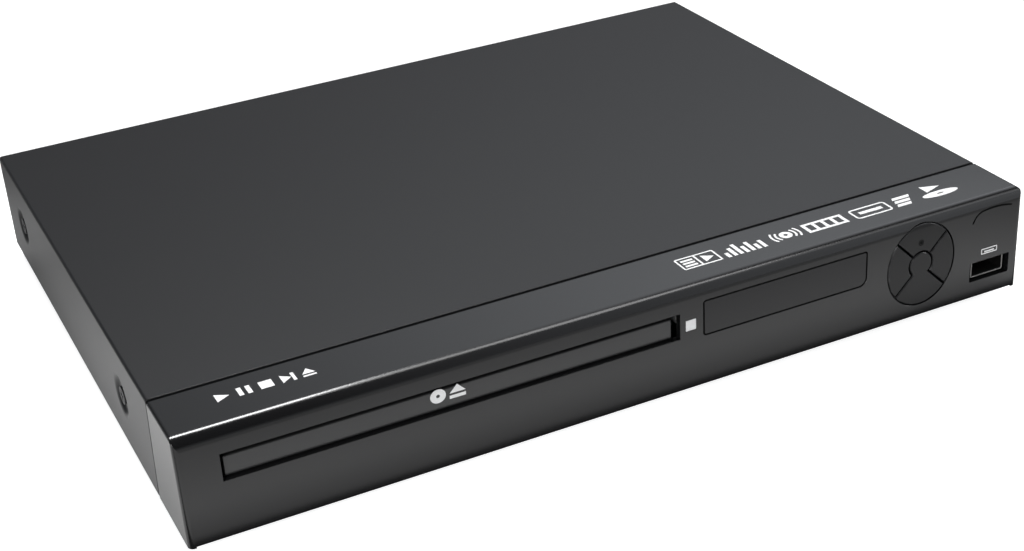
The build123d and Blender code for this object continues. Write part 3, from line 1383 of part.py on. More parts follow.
# Transformer, capacitors, fuse holder and output socket on the power board
transformer_x = power_board_left + 0.56 * power_board_width
transformer_half = 12.0
transformer_height = 17.0
capacitor_x = power_board_left + 0.33 * power_board_width
capacitor_height = 19.0
harness_x = power_board_right - 10 - socket_depth / 2
with BuildPart() as power_parts:
    block((transformer_x - transformer_half, transformer_x + transformer_half),
          (power_y - 0.155 * power_depth, power_y + 0.155 * power_depth),
          (board_face, board_face + transformer_height))
    block((transformer_x - 0.75 * transformer_half, transformer_x + 0.75 * transformer_half),
          (power_y - 0.26 * power_depth, power_y + 0.26 * power_depth),
          (board_face + 0.18 * transformer_height, board_face + 0.82 * transformer_height))
    post(capacitor_x, power_y - 0.13 * power_depth, (board_face, board_face + capacitor_height),
         0.195 * power_depth)
    for x in (transformer_x + 1.6 * transformer_half, transformer_x + 2.35 * transformer_half):
        post(x, power_y - 0.3 * power_depth, (board_face, board_face + 0.6 * capacitor_height),
             0.1 * power_depth)
    block((transformer_x + 1.4 * transformer_half, transformer_x + 2.7 * transformer_half),
          (power_y + 0.155 * power_depth, power_y + 0.21 * power_depth),
          (board_face, board_face + 0.85 * capacitor_height))
    block((harness_x - socket_depth / 2, harness_x + socket_depth / 2),
          (harness_y - harness_half, harness_y + harness_half), (board_face, board_face + socket_height))
power_parts.part.label = "power_parts"
export_step(power_parts.part, "parts/power_parts.step")

# Mains inlet: figure-eight socket with two round pins
with BuildPart() as mains_inlet:
    inlet_y = (rear_y - inlet_depth, rear_y)
    block((inlet_x - inlet_width / 2, inlet_x + inlet_width / 2), inlet_y,
          (inlet_z - inlet_height / 2, inlet_z + inlet_height / 2))
    with BuildSketch(upright(inlet_y[1])) as mouth:
        with Locations((inlet_x - 4.3, inlet_z), (inlet_x + 4.3, inlet_z)):
            Circle(4.2)
        with Locations((inlet_x, inlet_z)):
            Rectangle(8.6, 7.4)
    extrude(mouth.sketch, amount=inlet_depth - 3, mode=Mode.SUBTRACT)
    for x in (inlet_x - 4.3, inlet_x + 4.3):
        bar_along_y(x, (inlet_y[0] + 1, inlet_y[1] - 4), inlet_z, 1.2)
mains_inlet.part.label = "mains_inlet"
export_step(mains_inlet.part, "parts/mains_inlet.step")

# Front ribbon: flat cable from the front board down and back to the main board
ribbon_thickness = 0.8
ribbon_top = base_z + 20
ribbon_low = board_face + 10
ribbon_bend = 4.0
with BuildPart() as front_ribbon:
    with BuildSketch(sideways(ribbon_x - ribbon_half)) as ribbon:
        with BuildLine() as ribbon_line:
            FilletPolyline(
                (at(front_board_depth + board_thickness), ribbon_top),
                (at(2 * front_board_depth), ribbon_top),
                (at(4 * front_board_depth), ribbon_low),
                (main_board_front + 1 + socket_depth / 2, ribbon_low),
                (main_board_front + 1 + socket_depth / 2, board_face + socket_height),
                radius=ribbon_bend,
            )
        trace(ribbon_line.line, line_width=ribbon_thickness)
    extrude(ribbon.sketch, amount=2 * ribbon_half)
front_ribbon.part.label = "front_ribbon"
export_step(front_ribbon.part, "parts/front_ribbon.step")

# Power harness: flat cable from the power board over to the main board
harness_thickness = 1.4
harness_z = board_face + 13
harness_end = main_board_left + 1 + socket_depth / 2
with BuildPart() as power_harness:
    with BuildSketch(upright(harness_y + harness_half)) as harness:
        with BuildLine() as harness_line:
            FilletPolyline(
                (harness_x, board_face + socket_height),
                (harness_x, harness_z),
                (harness_end, harness_z),
                (harness_end, board_face + socket_height),
                radius=ribbon_bend,
            )
        trace(harness_line.line, line_width=harness_thickness)
    extrude(harness.sketch, amount=2 * harness_half)
power_harness.part.label = "power_harness"
export_step(power_harness.part, "parts/power_harness.step")
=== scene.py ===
import math

import bpy
import numpy as np
from mathutils import Matrix, Vector


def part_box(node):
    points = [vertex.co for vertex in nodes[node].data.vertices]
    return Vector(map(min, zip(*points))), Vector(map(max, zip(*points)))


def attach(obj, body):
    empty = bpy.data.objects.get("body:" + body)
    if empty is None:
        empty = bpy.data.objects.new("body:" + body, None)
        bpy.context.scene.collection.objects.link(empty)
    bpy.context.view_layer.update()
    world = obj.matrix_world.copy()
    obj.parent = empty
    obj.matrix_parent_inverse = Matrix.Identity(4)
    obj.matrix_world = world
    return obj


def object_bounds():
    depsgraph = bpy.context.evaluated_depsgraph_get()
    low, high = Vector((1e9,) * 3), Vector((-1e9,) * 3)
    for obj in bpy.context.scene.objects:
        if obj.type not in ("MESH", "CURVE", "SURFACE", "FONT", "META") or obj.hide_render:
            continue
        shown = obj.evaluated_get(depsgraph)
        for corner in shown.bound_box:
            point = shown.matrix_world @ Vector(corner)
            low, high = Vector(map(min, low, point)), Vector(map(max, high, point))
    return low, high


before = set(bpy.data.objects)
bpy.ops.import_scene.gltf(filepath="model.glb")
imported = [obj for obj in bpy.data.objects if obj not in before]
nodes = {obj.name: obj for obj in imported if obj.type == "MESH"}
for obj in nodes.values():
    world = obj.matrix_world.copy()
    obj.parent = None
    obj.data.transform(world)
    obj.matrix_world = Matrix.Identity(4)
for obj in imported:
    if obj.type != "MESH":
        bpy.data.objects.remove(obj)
cad_box = [[float(number) for number in corner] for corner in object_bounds()]
bpy.context.scene.view_settings.view_transform = "Standard"

# Base pan
# The floor of the player with its side flanges and rear panel, pressed from one
# sheet of galvanised steel. Everything inside is screwed or clipped to it.


def begin_material(name):
    """A new material, its node tree and its Principled shader."""
    material = bpy.data.materials.new(name)
    material.use_nodes = True
    tree = material.node_tree
    shader = next(node for node in tree.nodes if node.type == "BSDF_PRINCIPLED")
    return material, tree, shader


def add_node(tree, kind, **settings):
    """A node of the named kind, with its plain settings and the start values of its inputs."""
    node = tree.nodes.new(kind)
    for key, value in settings.items():
        if key == "inputs":
            for socket, number in value.items():
                node.inputs[socket].default_value = number
        else:
            setattr(node, key, value)
    return node


def reopen(material):
    """The tree of a finish, its Principled shader, and the socket that feeds its base colour so far."""
    tree = material.node_tree
    shader = next(node for node in tree.nodes if node.type == "BSDF_PRINCIPLED")
    return tree, shader, shader.inputs["Base Color"].links[0].from_socket


def begin_group(name, inputs, outputs):
    """A shader node group with named number inputs, and named number, colour or direction outputs."""
    group = bpy.data.node_groups.new(name, "ShaderNodeTree")
    for title, start in inputs.items():
        socket = group.interface.new_socket(title, in_out="INPUT", socket_type="NodeSocketFloat")
        socket.default_value = start
    for title, kind in outputs.items():
        group.interface.new_socket(title, in_out="OUTPUT", socket_type=kind)
    return group, group.nodes.new("NodeGroupInput"), group.nodes.new("NodeGroupOutput")


def place_group(tree, group, **values):
    """One use of a group in a material, with its own values."""
    node = tree.nodes.new("ShaderNodeGroup")
    node.node_tree = group
    for title, number in values.items():
        node.inputs[title].default_value = number
    return node


def chain(tree, *steps):
    """Links each pair of sockets in turn: (from, to), (from, to) and so on."""
    for start, end in steps:
        tree.links.new(start, end)


def dress(material, *names):
    """Gives a material to every slot of the named CAD nodes."""
    for name in names:
        for slot in nodes[name].material_slots:
            slot.material = material


# Fine grain: two sizes of soft noise in metres, as a height and as a light and dark cloud
grain_group, grain_in, grain_out = begin_group(
    "fine grain",
    {"Size": 0.0006, "Cloud Size": 0.03, "Cloud Depth": 0.06},
    {"Height": "NodeSocketFloat", "Shade": "NodeSocketFloat"},
)
grain_place = add_node(grain_group, "ShaderNodeTexCoord")
grain_inverse = add_node(grain_group, "ShaderNodeMath", operation="DIVIDE", inputs={0: 1.0})
cloud_inverse = add_node(grain_group, "ShaderNodeMath", operation="DIVIDE", inputs={0: 1.0})
grain_noise = add_node(grain_group, "ShaderNodeTexNoise", inputs={"Detail": 2.0, "Roughness": 0.55})
cloud_noise = add_node(grain_group, "ShaderNodeTexNoise", inputs={"Detail": 3.0, "Roughness": 0.5})
cloud_centre = add_node(grain_group, "ShaderNodeMath", operation="SUBTRACT", inputs={1: 0.5})
cloud_depth = add_node(grain_group, "ShaderNodeMath", operation="MULTIPLY_ADD", inputs={2: 1.0})
chain(
    grain_group,
    (grain_in.outputs["Size"], grain_inverse.inputs[1]),
    (grain_in.outputs["Cloud Size"], cloud_inverse.inputs[1]),
    (grain_place.outputs["Object"], grain_noise.inputs["Vector"]),
    (grain_place.outputs["Object"], cloud_noise.inputs["Vector"]),
    (grain_inverse.outputs[0], grain_noise.inputs["Scale"]),
    (cloud_inverse.outputs[0], cloud_noise.inputs["Scale"]),
    (cloud_noise.outputs["Fac"], cloud_centre.inputs[0]),
    (cloud_centre.outputs[0], cloud_depth.inputs[0]),
    (grain_in.outputs["Cloud Depth"], cloud_depth.inputs[1]),
    (grain_noise.outputs["Fac"], grain_out.inputs["Height"]),
    (cloud_depth.outputs[0], grain_out.inputs["Shade"]),
)

# Edge rub and highlight: where the rounded normal leaves the true one, a corner is near; noise breaks it
# up. The mask carries wear, and on the keys and the port's shell a painted highlight.
edge_group, edge_in, edge_out = begin_group(
    "edge rub and highlight",
    {"Radius": 0.0004, "Amount": 0.5},
    {"Mask": "NodeSocketFloat", "Normal": "NodeSocketVector"},
)
edge_round = add_node(edge_group, "ShaderNodeBevel", samples=4)
edge_true = add_node(edge_group, "ShaderNodeNewGeometry")
edge_agree = add_node(edge_group, "ShaderNodeVectorMath", operation="DOT_PRODUCT")
edge_range = add_node(
    edge_group, "ShaderNodeMapRange",
    inputs={"From Min": 0.97, "From Max": 0.8, "To Min": 0.0, "To Max": 1.0},
)
edge_place = add_node(edge_group, "ShaderNodeTexCoord")
edge_noise = add_node(edge_group, "ShaderNodeTexNoise", inputs={"Scale": 420.0, "Detail": 4.0})
edge_break = add_node(
    edge_group, "ShaderNodeMapRange",
    inputs={"From Min": 0.4, "From Max": 0.7, "To Min": 0.15, "To Max": 1.0},
)
edge_mask = add_node(edge_group, "ShaderNodeMath", operation="MULTIPLY")
edge_amount = add_node(edge_group, "ShaderNodeMath", operation="MULTIPLY", use_clamp=True)
chain(
    edge_group,
    (edge_in.outputs["Radius"], edge_round.inputs["Radius"]),
    (edge_round.outputs["Normal"], edge_agree.inputs[0]),
    (edge_true.outputs["Normal"], edge_agree.inputs[1]),
    (edge_agree.outputs["Value"], edge_range.inputs["Value"]),
    (edge_place.outputs["Object"], edge_noise.inputs["Vector"]),
    (edge_noise.outputs["Fac"], edge_break.inputs["Value"]),
    (edge_range.outputs[0], edge_mask.inputs[0]),
    (edge_break.outputs[0], edge_mask.inputs[1]),
    (edge_mask.outputs[0], edge_amount.inputs[0]),
    (edge_in.outputs["Amount"], edge_amount.inputs[1]),
    (edge_amount.outputs[0], edge_out.inputs["Mask"]),
    (edge_round.outputs["Normal"], edge_out.inputs["Normal"]),
)


def finish_material(name, colour, rough, grain, bump, edge=0.0004, rub_and_highlight=0.3, rub_and_highlight_colour=None, cloud=0.06,
                    cloud_size=0.03, metal=0.0, ior=1.45, gloss=0.5):
    """A finish of one colour: clouded, grained, its edges rounded and rubbed to a second colour, which on
    some finishes stands as a painted highlight.

    The grain's size, the edge's radius and the cloud's size are in metres; rough, metal and the rub's
    amount run from 0 to 1, and bump is how strongly the grain shows. The rub is wear, and on some finishes
    a painted highlight.
    """
    material, tree, shader = begin_material(name)
    shader.inputs["Metallic"].default_value = metal
    shader.inputs["IOR"].default_value = ior
    shader.inputs["Specular IOR Level"].default_value = gloss
    grains = place_group(tree, grain_group, Size=grain)
    grains.inputs["Cloud Depth"].default_value = cloud
    grains.inputs["Cloud Size"].default_value = cloud_size
    edges = place_group(tree, edge_group, Radius=edge, Amount=rub_and_highlight)
    lighter = rub_and_highlight_colour or tuple(min(1.0, part * 1.8 + 0.02) for part in colour)
    shade = add_node(tree, "ShaderNodeMix", data_type="RGBA", blend_type="MULTIPLY", inputs={0: 1.0})
    shade.inputs[6].default_value = (*colour, 1.0)
    worn_and_highlit = add_node(tree, "ShaderNodeMix", data_type="RGBA")
    worn_and_highlit.inputs[7].default_value = (*lighter, 1.0)
    relief = add_node(tree, "ShaderNodeBump", inputs={"Strength": bump, "Distance": grain * 0.25})
    rough_spread = 0.06
    rougher = add_node(
        tree, "ShaderNodeMapRange",
        inputs={"From Min": 1 - cloud, "From Max": 1 + cloud,
                "To Min": rough * (1 + rough_spread), "To Max": rough * (1 - rough_spread)},
    )
    chain(
        tree,
        (grains.outputs["Shade"], shade.inputs[7]),
        (shade.outputs[2], worn_and_highlit.inputs[6]),
        (edges.outputs["Mask"], worn_and_highlit.inputs[0]),
        (worn_and_highlit.outputs[2], shader.inputs["Base Color"]),
        (grains.outputs["Shade"], rougher.inputs["Value"]),
        (rougher.outputs[0], shader.inputs["Roughness"]),
        (grains.outputs["Height"], relief.inputs["Height"]),
        (edges.outputs["Normal"], relief.inputs["Normal"]),
        (relief.outputs["Normal"], shader.inputs["Normal"]),
    )
    return material


def spangled_zinc(name, colour, rough):
    """Galvanised sheet: flat crystal cells of 6 to 10 mm that each reflect a little differently."""
    material = finish_material(name, colour, rough, 0.0008, 0.15, rub_and_highlight=0.5, metal=1.0)
    tree, shader, old = reopen(material)
    place = add_node(tree, "ShaderNodeTexCoord")
    cells = add_node(tree, "ShaderNodeTexVoronoi", inputs={"Scale": 130.0})
    split = add_node(tree, "ShaderNodeSeparateColor")
    tone = add_node(tree, "ShaderNodeMapRange", inputs={"To Min": 0.91, "To Max": 1.03})
    tint = add_node(tree, "ShaderNodeMix", data_type="RGBA", blend_type="MULTIPLY", inputs={0: 1.0})
    chain(
        tree,
        (place.outputs["Object"], cells.inputs["Vector"]),
        (cells.outputs["Color"], split.inputs[0]),
        (split.outputs[0], tone.inputs["Value"]),
        (old, tint.inputs[6]),
        (tone.outputs[0], tint.inputs[7]),
        (tint.outputs[2], shader.inputs["Base Color"]),
    )
    return material


dress(spangled_zinc("galvanised sheet", (0.52, 0.53, 0.54), 0.38), "base_pan")

# Feet
# Four round feet with a dished sole, moulded in matt black rubber. Each is held by its peg,
# which is pushed through the floor.
dress(
    finish_material("foot rubber", (0.03, 0.03, 0.03), 0.75, 0.0005, 0.35, rub_and_highlight=0.35,
                    rub_and_highlight_colour=(0.1, 0.1, 0.1)),
    "foot_front_left", "foot_front_right", "foot_rear_left", "foot_rear_right",
)

# Loader frame, lift frame, cam slide and gears
# The moulded works of the drive. The frame with the tray's rails and the frame that lifts the
# deck are black; the slide that works it, the gears and the clamp's puck are white acetal.
dress(
    finish_material("loader plastic", (0.035, 0.035, 0.037), 0.5, 0.0004, 0.25, rub_and_highlight=0.35,
                    rub_and_highlight_colour=(0.1, 0.1, 0.105)),
    "loader_frame", "lift_frame",
)
dress(
    finish_material("acetal", (0.82, 0.81, 0.77), 0.35, 0.0006, 0.12, rub_and_highlight=0.2, rub_and_highlight_colour=(0.9, 0.9, 0.88)),
    "cam_slide", "clamp_puck", "pulley_gear", "tray_gear", "sled_gear", "motor_pulley", "pickup_rack",
)

# Deck and clamp bridge
# Pressed steel plate that carries the spindle, the rods and the pickup, hung in the lift
# frame on four soft grommets. The bridge over it, a strap of such sheet, holds the clamp.
dress(spangled_zinc("deck sheet", (0.5, 0.51, 0.52), 0.34), "deck_plate", "clamp_bridge")
dress(
    finish_material("grommet rubber", (0.025, 0.025, 0.025), 0.8, 0.0004, 0.3, rub_and_highlight=0.2),
    "deck_grommets", "turntable_pad", "drive_belt",
)

# Spindle
# A ring of wound iron arms stands on the deck; the rotor cup turns over it and carries the
# turntable with its raised centring cone.
dress(
    finish_material("winding copper", (0.6, 0.24, 0.09), 0.3, 0.0003, 0.5, rub_and_highlight=0.1, metal=0.9, cloud=0.12),
    "spindle_stator",
)
dress(
    finish_material("turntable plastic", (0.06, 0.06, 0.065), 0.45, 0.0004, 0.2, rub_and_highlight=0.3),
    "turntable", "tray_switch",
)

# Bright steel parts
# The pickup's two ground rods, the rotor cup and the drawn cans of both motors: bare bright
# steel, a little clouded from handling.
bright_steel = finish_material(
    "bright steel", (0.6, 0.6, 0.61), 0.28, 0.0005, 0.1, rub_and_highlight=0.4, metal=1.0, cloud=0.1, cloud_size=0.004
)
dress(bright_steel, "spindle_rotor", "guide_rods", "sled_motor", "loading_motor")

# Pickup
# A die-cast alloy body that slides on the two rods and holds the laser. The lens in its top is
# clear, with a thin coating that looks blue to violet as the angle changes.
dress(
    finish_material("cast alloy", (0.5, 0.5, 0.51), 0.5, 0.0004, 0.45, rub_and_highlight=0.5, metal=0.9, cloud=0.12),
    "pickup_body",
)
lens_glass, lens_tree, lens_shader = begin_material("coated lens")
lens_shader.inputs["Roughness"].default_value = 0.03
lens_shader.inputs["Transmission Weight"].default_value = 0.6
lens_shader.inputs["Coat Weight"].default_value = 0.8
lens_shader.inputs["Coat Tint"].default_value = (0.6, 0.5, 1.0, 1.0)
lens_fresnel = add_node(lens_tree, "ShaderNodeLayerWeight", inputs={"Blend": 0.35})
lens_tint = add_node(lens_tree, "ShaderNodeMix", data_type="RGBA")
lens_tint.inputs[6].default_value = (0.35, 0.42, 0.8, 1.0)
lens_tint.inputs[7].default_value = (0.75, 0.5, 0.85, 1.0)
chain(
    lens_tree,
    (lens_fresnel.outputs["Facing"], lens_tint.inputs[0]),
    (lens_tint.outputs[2], lens_shader.inputs["Base Color"]),
)
dress(lens_glass, "pickup_lens")

# Brass pinion
# The small toothed wheel on the sled motor's shaft, cut from brass and pressed on. It turns
# the large wheel that moves the pickup's rack.
dress(
    finish_material("brass", (0.75, 0.58, 0.28), 0.3, 0.0003, 0.15, rub_and_highlight=0.3, metal=1.0),
    "sled_pinion",
)

# Screws
# Steel screws: blackened ones hold the cover, bright ones the works, the deck and the boards.
# Each is turned into the sheet or the moulding under it.
dress(
    finish_material("black screw steel", (0.05, 0.05, 0.052), 0.45, 0.0004, 0.3, rub_and_highlight=0.5,
                    rub_and_highlight_colour=(0.2, 0.2, 0.2), metal=0.7),
    "cover_screws",
)
dress(bright_steel, "chassis_screws", "deck_screws")

# Boards
# Fibre boards with green solder mask over copper tracks, and a tan paper board for the
# mains side. The tracks run along the board in bundles, with small tinned pads among them.


def board_material(name, mask, track, pad):
    """Solder mask with tracks: stripes from a brick pattern, raised a little, and round tinned pads."""
    material = finish_material(name, mask, 0.35, 0.0006, 0.1, rub_and_highlight=0.2)
    tree, shader, old = reopen(material)
    place = add_node(tree, "ShaderNodeTexCoord")
    bricks = add_node(
        tree, "ShaderNodeTexBrick",
        inputs={"Scale": 90.0, "Mortar Size": 0.035, "Mortar Smooth": 0.1, "Brick Width": 1.7,
                "Row Height": 0.11},
    )
    bricks.inputs["Color1"].default_value = (0, 0, 0, 1)
    bricks.inputs["Color2"].default_value = (0, 0, 0, 1)
    bricks.inputs["Mortar"].default_value = (1, 1, 1, 1)
    blocks = add_node(tree, "ShaderNodeTexVoronoi", inputs={"Scale": 75.0})
    choose = add_node(tree, "ShaderNodeSeparateColor")
    pick = add_node(tree, "ShaderNodeMath", operation="GREATER_THAN", inputs={1: 0.45})
    tracks = add_node(tree, "ShaderNodeMath", operation="MULTIPLY")
    dots = add_node(tree, "ShaderNodeTexVoronoi", inputs={"Scale": 260.0, "Randomness": 0.15})
    near = add_node(tree, "ShaderNodeMath", operation="LESS_THAN", inputs={1: 0.22})
    some = add_node(tree, "ShaderNodeSeparateColor")
    few = add_node(tree, "ShaderNodeMath", operation="GREATER_THAN", inputs={1: 0.72})
    pads = add_node(tree, "ShaderNodeMath", operation="MULTIPLY")
    with_tracks = add_node(tree, "ShaderNodeMix", data_type="RGBA")
    with_tracks.inputs[7].default_value = (*track, 1)
    with_pads = add_node(tree, "ShaderNodeMix", data_type="RGBA")
    with_pads.inputs[7].default_value = (*pad, 1)
    chain(
        tree,
        (place.outputs["Object"], bricks.inputs["Vector"]),
        (place.outputs["Object"], blocks.inputs["Vector"]),
        (place.outputs["Object"], dots.inputs["Vector"]),
        (blocks.outputs["Color"], choose.inputs[0]),
        (choose.outputs[0], pick.inputs[0]),
        (bricks.outputs["Fac"], tracks.inputs[0]),
        (pick.outputs[0], tracks.inputs[1]),
        (dots.outputs["Distance"], near.inputs[0]),
        (dots.outputs["Color"], some.inputs[0]),
        (some.outputs[1], few.inputs[0]),
        (near.outputs[0], pads.inputs[0]),
        (few.outputs[0], pads.inputs[1]),
        (old, with_tracks.inputs[6]),
        (tracks.outputs[0], with_tracks.inputs[0]),
        (with_tracks.outputs[2], with_pads.inputs[6]),
        (pads.outputs[0], with_pads.inputs[0]),
        (with_pads.outputs[2], shader.inputs["Base Color"]),
        (pads.outputs[0], shader.inputs["Metallic"]),
    )
    return material


dress(board_material("main board mask", (0.02, 0.16, 0.07), (0.06, 0.3, 0.14), (0.7, 0.7, 0.68)),
      "main_board", "front_board")
dress(board_material("power board laminate", (0.45, 0.32, 0.15), (0.34, 0.22, 0.09), (0.7, 0.7, 0.68)),
      "power_board")

# Board components
# Chips and sockets are matt black mouldings, the heat sink is extruded aluminium, the
# capacitors and the transformer stand on the power board.
matt_black = finish_material(
    "component black", (0.03, 0.03, 0.032), 0.55, 0.0004, 0.25, rub_and_highlight=0.3, rub_and_highlight_colour=(0.12, 0.12, 0.12)
)
dress(matt_black, "tact_switches", "jack_block", "mains_inlet", "remote_receiver")


def banded_material(name, axis, bands, end, rough=0.4):
    """A moulded finish whose colour steps along one axis: each band is where it starts, and its colour."""
    material = finish_material(name, (0.5, 0.5, 0.5), rough, 0.0004, 0.2, rub_and_highlight=0.0, cloud=0.08)
    tree = material.node_tree
    shade = next(node for node in tree.nodes if node.type == "MIX" and node.blend_type == "MULTIPLY")
    place = add_node(tree, "ShaderNodeTexCoord")
    split = add_node(tree, "ShaderNodeSeparateXYZ")
    low = bands[0][0]
    along = add_node(tree, "ShaderNodeMapRange", inputs={"From Min": low, "From Max": end})
    steps = add_node(tree, "ShaderNodeValToRGB")
    steps.color_ramp.interpolation = "CONSTANT"
    steps.color_ramp.elements[0].color = (*bands[0][1], 1)
    steps.color_ramp.elements[1].position = (bands[1][0] - low) / (end - low)
    steps.color_ramp.elements[1].color = (*bands[1][1], 1)
    for start, colour in bands[2:]:
        steps.color_ramp.elements.new((start - low) / (end - low)).color = (*colour, 1)
    chain(
        tree,
        (place.outputs["Object"], split.inputs[0]),
        (split.outputs[axis], along.inputs["Value"]),
        (along.outputs[0], steps.inputs[0]),
        (steps.outputs[0], shade.inputs[6]),
    )
    return material


# Main board, from low to high: black chips, the ribbon sockets' pale tops, blue cans, their tops
chip_black, sleeve_blue, pale_nylon = (0.03, 0.03, 0.032), (0.02, 0.03, 0.1), (0.75, 0.73, 0.66)
dress(
    banded_material("main board parts", "Z", (
        (0.0126, chip_black), (0.0174, pale_nylon), (0.0178, sleeve_blue), (0.02055, (0.6, 0.6, 0.6)),
    ), 0.0206),
    "board_parts",
)
# Power board, left to right: large capacitor, taped transformer, small parts, harness socket
dress(
    banded_material("power board parts", "X", (
        (-0.11, sleeve_blue), (-0.092, (0.72, 0.46, 0.06)), (-0.064, chip_black), (-0.0455, pale_nylon),
    ), -0.041),
    "power_parts",
)
# Display: the floors of the digits' slots are pale green diffusers in a black block
dress(
    banded_material("display block", "Y", (
        (-0.1107, chip_black), (-0.11035, (0.45, 0.75, 0.6)), (-0.1102, chip_black),
    ), -0.098),
    "display_module",
)
dress(
    finish_material("sink aluminium", (0.6, 0.6, 0.61), 0.42, 0.0004, 0.3, rub_and_highlight=0.4, metal=1.0),
    "heat_sink",
)

# Sockets
# The audio barrels and the shells of the video socket and of the front port are nickel
# plated; the barrels hold coloured plastic rings, and a black tongue stands in the port.
dress(
    finish_material("nickel plate", (0.75, 0.74, 0.72), 0.2, 0.0004, 0.08, rub_and_highlight=0.3, metal=1.0),
    "jack_barrels", "video_socket",
)
# The port's shell is plated dark as painted shade inside the port, and its rims are rubbed bright as a
# painted highlight.
dress(
    finish_material("port shell painted shade and highlight", (0.2, 0.195, 0.19), 0.32, 0.0004, 0.1, edge=0.00015, rub_and_highlight=1.0,
                    rub_and_highlight_colour=(0.85, 0.84, 0.82), metal=1.0),
    "port_shell",
)
# From left to right: the black, yellow, white and red inserts, parted halfway between the barrels
dress(
    banded_material("insert plastic", "X", (
        (0.049, (0.02, 0.02, 0.02)), (0.063, (0.75, 0.6, 0.03)), (0.077, (0.78, 0.78, 0.76)),
        (0.091, (0.6, 0.03, 0.02)),
    ), 0.105, rough=0.35),
    "jack_inserts",
)
dress(
    finish_material("tongue plastic", (0.03, 0.03, 0.03), 0.5, 0.0004, 0.2, rub_and_highlight=0.2),
    "port_tongue",
)

# Cables
# A flat flexible cable joins the front board to the main board, where a socket takes it, and a
# narrower one brings the power over. Both are white film over parallel copper strips.


def flat_cable_material(name, film, strip, across, pitch):
    """White film with a fine stripe for each strip: a wave along the axis that crosses the cable.

    The wave turns by 20 times its scale for each metre, so one turn for each strip takes a scale of
    2 pi / 20, or 0.3142, over the strips' pitch.
    """
    material = finish_material(name, film, 0.4, 0.0006, 0.1, rub_and_highlight=0.1)
    tree, shader, old = reopen(material)
    place = add_node(tree, "ShaderNodeTexCoord")
    wave_turn = 0.3142
    wave = add_node(tree, "ShaderNodeTexWave", bands_direction=across, inputs={"Scale": wave_turn / pitch})
    stripe = add_node(tree, "ShaderNodeMapRange", inputs={"From Min": 0.45, "From Max": 0.65})
    tint = add_node(tree, "ShaderNodeMix", data_type="RGBA")
    tint.inputs[7].default_value = (*strip, 1)
    chain(
        tree,
        (place.outputs["Object"], wave.inputs["Vector"]),
        (wave.outputs["Fac"], stripe.inputs["Value"]),
        (old, tint.inputs[6]),
        (stripe.outputs[0], tint.inputs[0]),
        (tint.outputs[2], shader.inputs["Base Color"]),
    )
    return material


dress(flat_cable_material("ribbon film", (0.8, 0.8, 0.8), (0.62, 0.6, 0.55), "X", 0.0012), "front_ribbon")
dress(flat_cable_material("harness film", (0.75, 0.75, 0.74), (0.45, 0.45, 0.47), "Y", 0.0018),
      "power_harness")

# Disc tray
# Black moulded tray with a round recess for a 120 mm disc, a smaller one within it, and a
# rack of teeth under one edge.
dress(
    finish_material("tray plastic", (0.03, 0.03, 0.032), 0.48, 0.0005, 0.35, rub_and_highlight=0.25,
                    rub_and_highlight_colour=(0.1, 0.1, 0.1)),
    "disc_tray",
)

# Top cover
# One sheet of steel folded down at both sides and painted with a fine dark powder coat,
# with a dimple pressed round each side screw.
dress(
    finish_material("cover paint", (0.0115, 0.0115, 0.0125), 0.31, 0.00045, 0.2, edge=0.0004, rub_and_highlight=0.2,
                    rub_and_highlight_colour=(0.1, 0.1, 0.1), cloud=0.05, ior=1.5),
    "top_cover",
)

# Front bezel
# Moulded in dark plastic with a semi-gloss face: a rounded brow, the tray slot, the window
# seat, the key ring and the port. A tongue along its top hooks it under the cover.
dress(
    finish_material("bezel plastic", (0.008, 0.008, 0.0085), 0.16, 0.0007, 0.05, edge=0.00035, rub_and_highlight=0.03,
                    rub_and_highlight_colour=(0.06, 0.06, 0.06), cloud=0.04, ior=1.6),
    "front_bezel",
)

# Tray door
# The narrow bar clipped across the front of the tray, which closes the bezel's slot. It has the
# bezel's semi-gloss face; its colour is painted paler than the bezel's, as painted light against the shade
# of the recess it sits in.
dress(
    finish_material("door plastic", (0.026, 0.026, 0.0265), 0.18, 0.0007, 0.05, edge=0.0003, rub_and_highlight=0.05,
                    rub_and_highlight_colour=(0.06, 0.06, 0.06), cloud=0.04, ior=1.6),
    "tray_door",
)

# Display window
# A plate moulded in smoke-tinted plastic and polished. It lies flush in its seat in the bezel,
# over the digits of the display.
dress(
    finish_material("window tint", (0.012, 0.012, 0.013), 0.09, 0.002, 0.02, edge=0.0002, rub_and_highlight=0.1,
                    rub_and_highlight_colour=(0.06, 0.06, 0.06), cloud=0.02, ior=1.5, gloss=0.46),
    "display_window",
)

# Indicator lamp
# A square rod moulded in milky plastic, which runs from the front board through the bezel and
# brings the light of the board to the face.
dress(
    finish_material("lamp plastic", (0.94, 0.945, 0.95), 0.3, 0.0005, 0.15, rub_and_highlight=0.2, cloud=0.15,
                    cloud_size=0.002),
    "indicator_lamp",
)

# Keys
# Four caps in an oval ring, parted by narrow grooves and moulded in dark plastic. A flange
# behind the bezel holds each one in front of its own switch. Their edges are rubbed to a pale
# grey, partly wear and partly a painted highlight along the rims.
dress(
    finish_material("key plastic", (0.0105, 0.0105, 0.011), 0.25, 0.0005, 0.12, edge=0.0005, rub_and_highlight=0.6,
                    rub_and_highlight_colour=(0.26, 0.26, 0.27), cloud=0.04, ior=1.5, gloss=0.36),
    "key_top", "key_left", "key_right", "key_lower",
)

# Printed signs and painted shade
# Ink pad-printed on the plastic, 0.03 mm over it: white signs for playing, discs, film and sound
# on the strip, over the port and on the door, and a matt black sign on the upper key. The same
# matt black stands as painted shade round the window and in the line over the port. The shapes
# are in millimetres from the place where each is laid.
ink_lift = 0.00003
front_face_y, strip_z = cad_box[0][1], cad_box[1][2]
body_low_z = 0.0042
door_set_back = 0.0016
on_strip = ((1, 0, 0), (0, 1, 0))
on_front = ((1, 0, 0), (0, 0, 1))


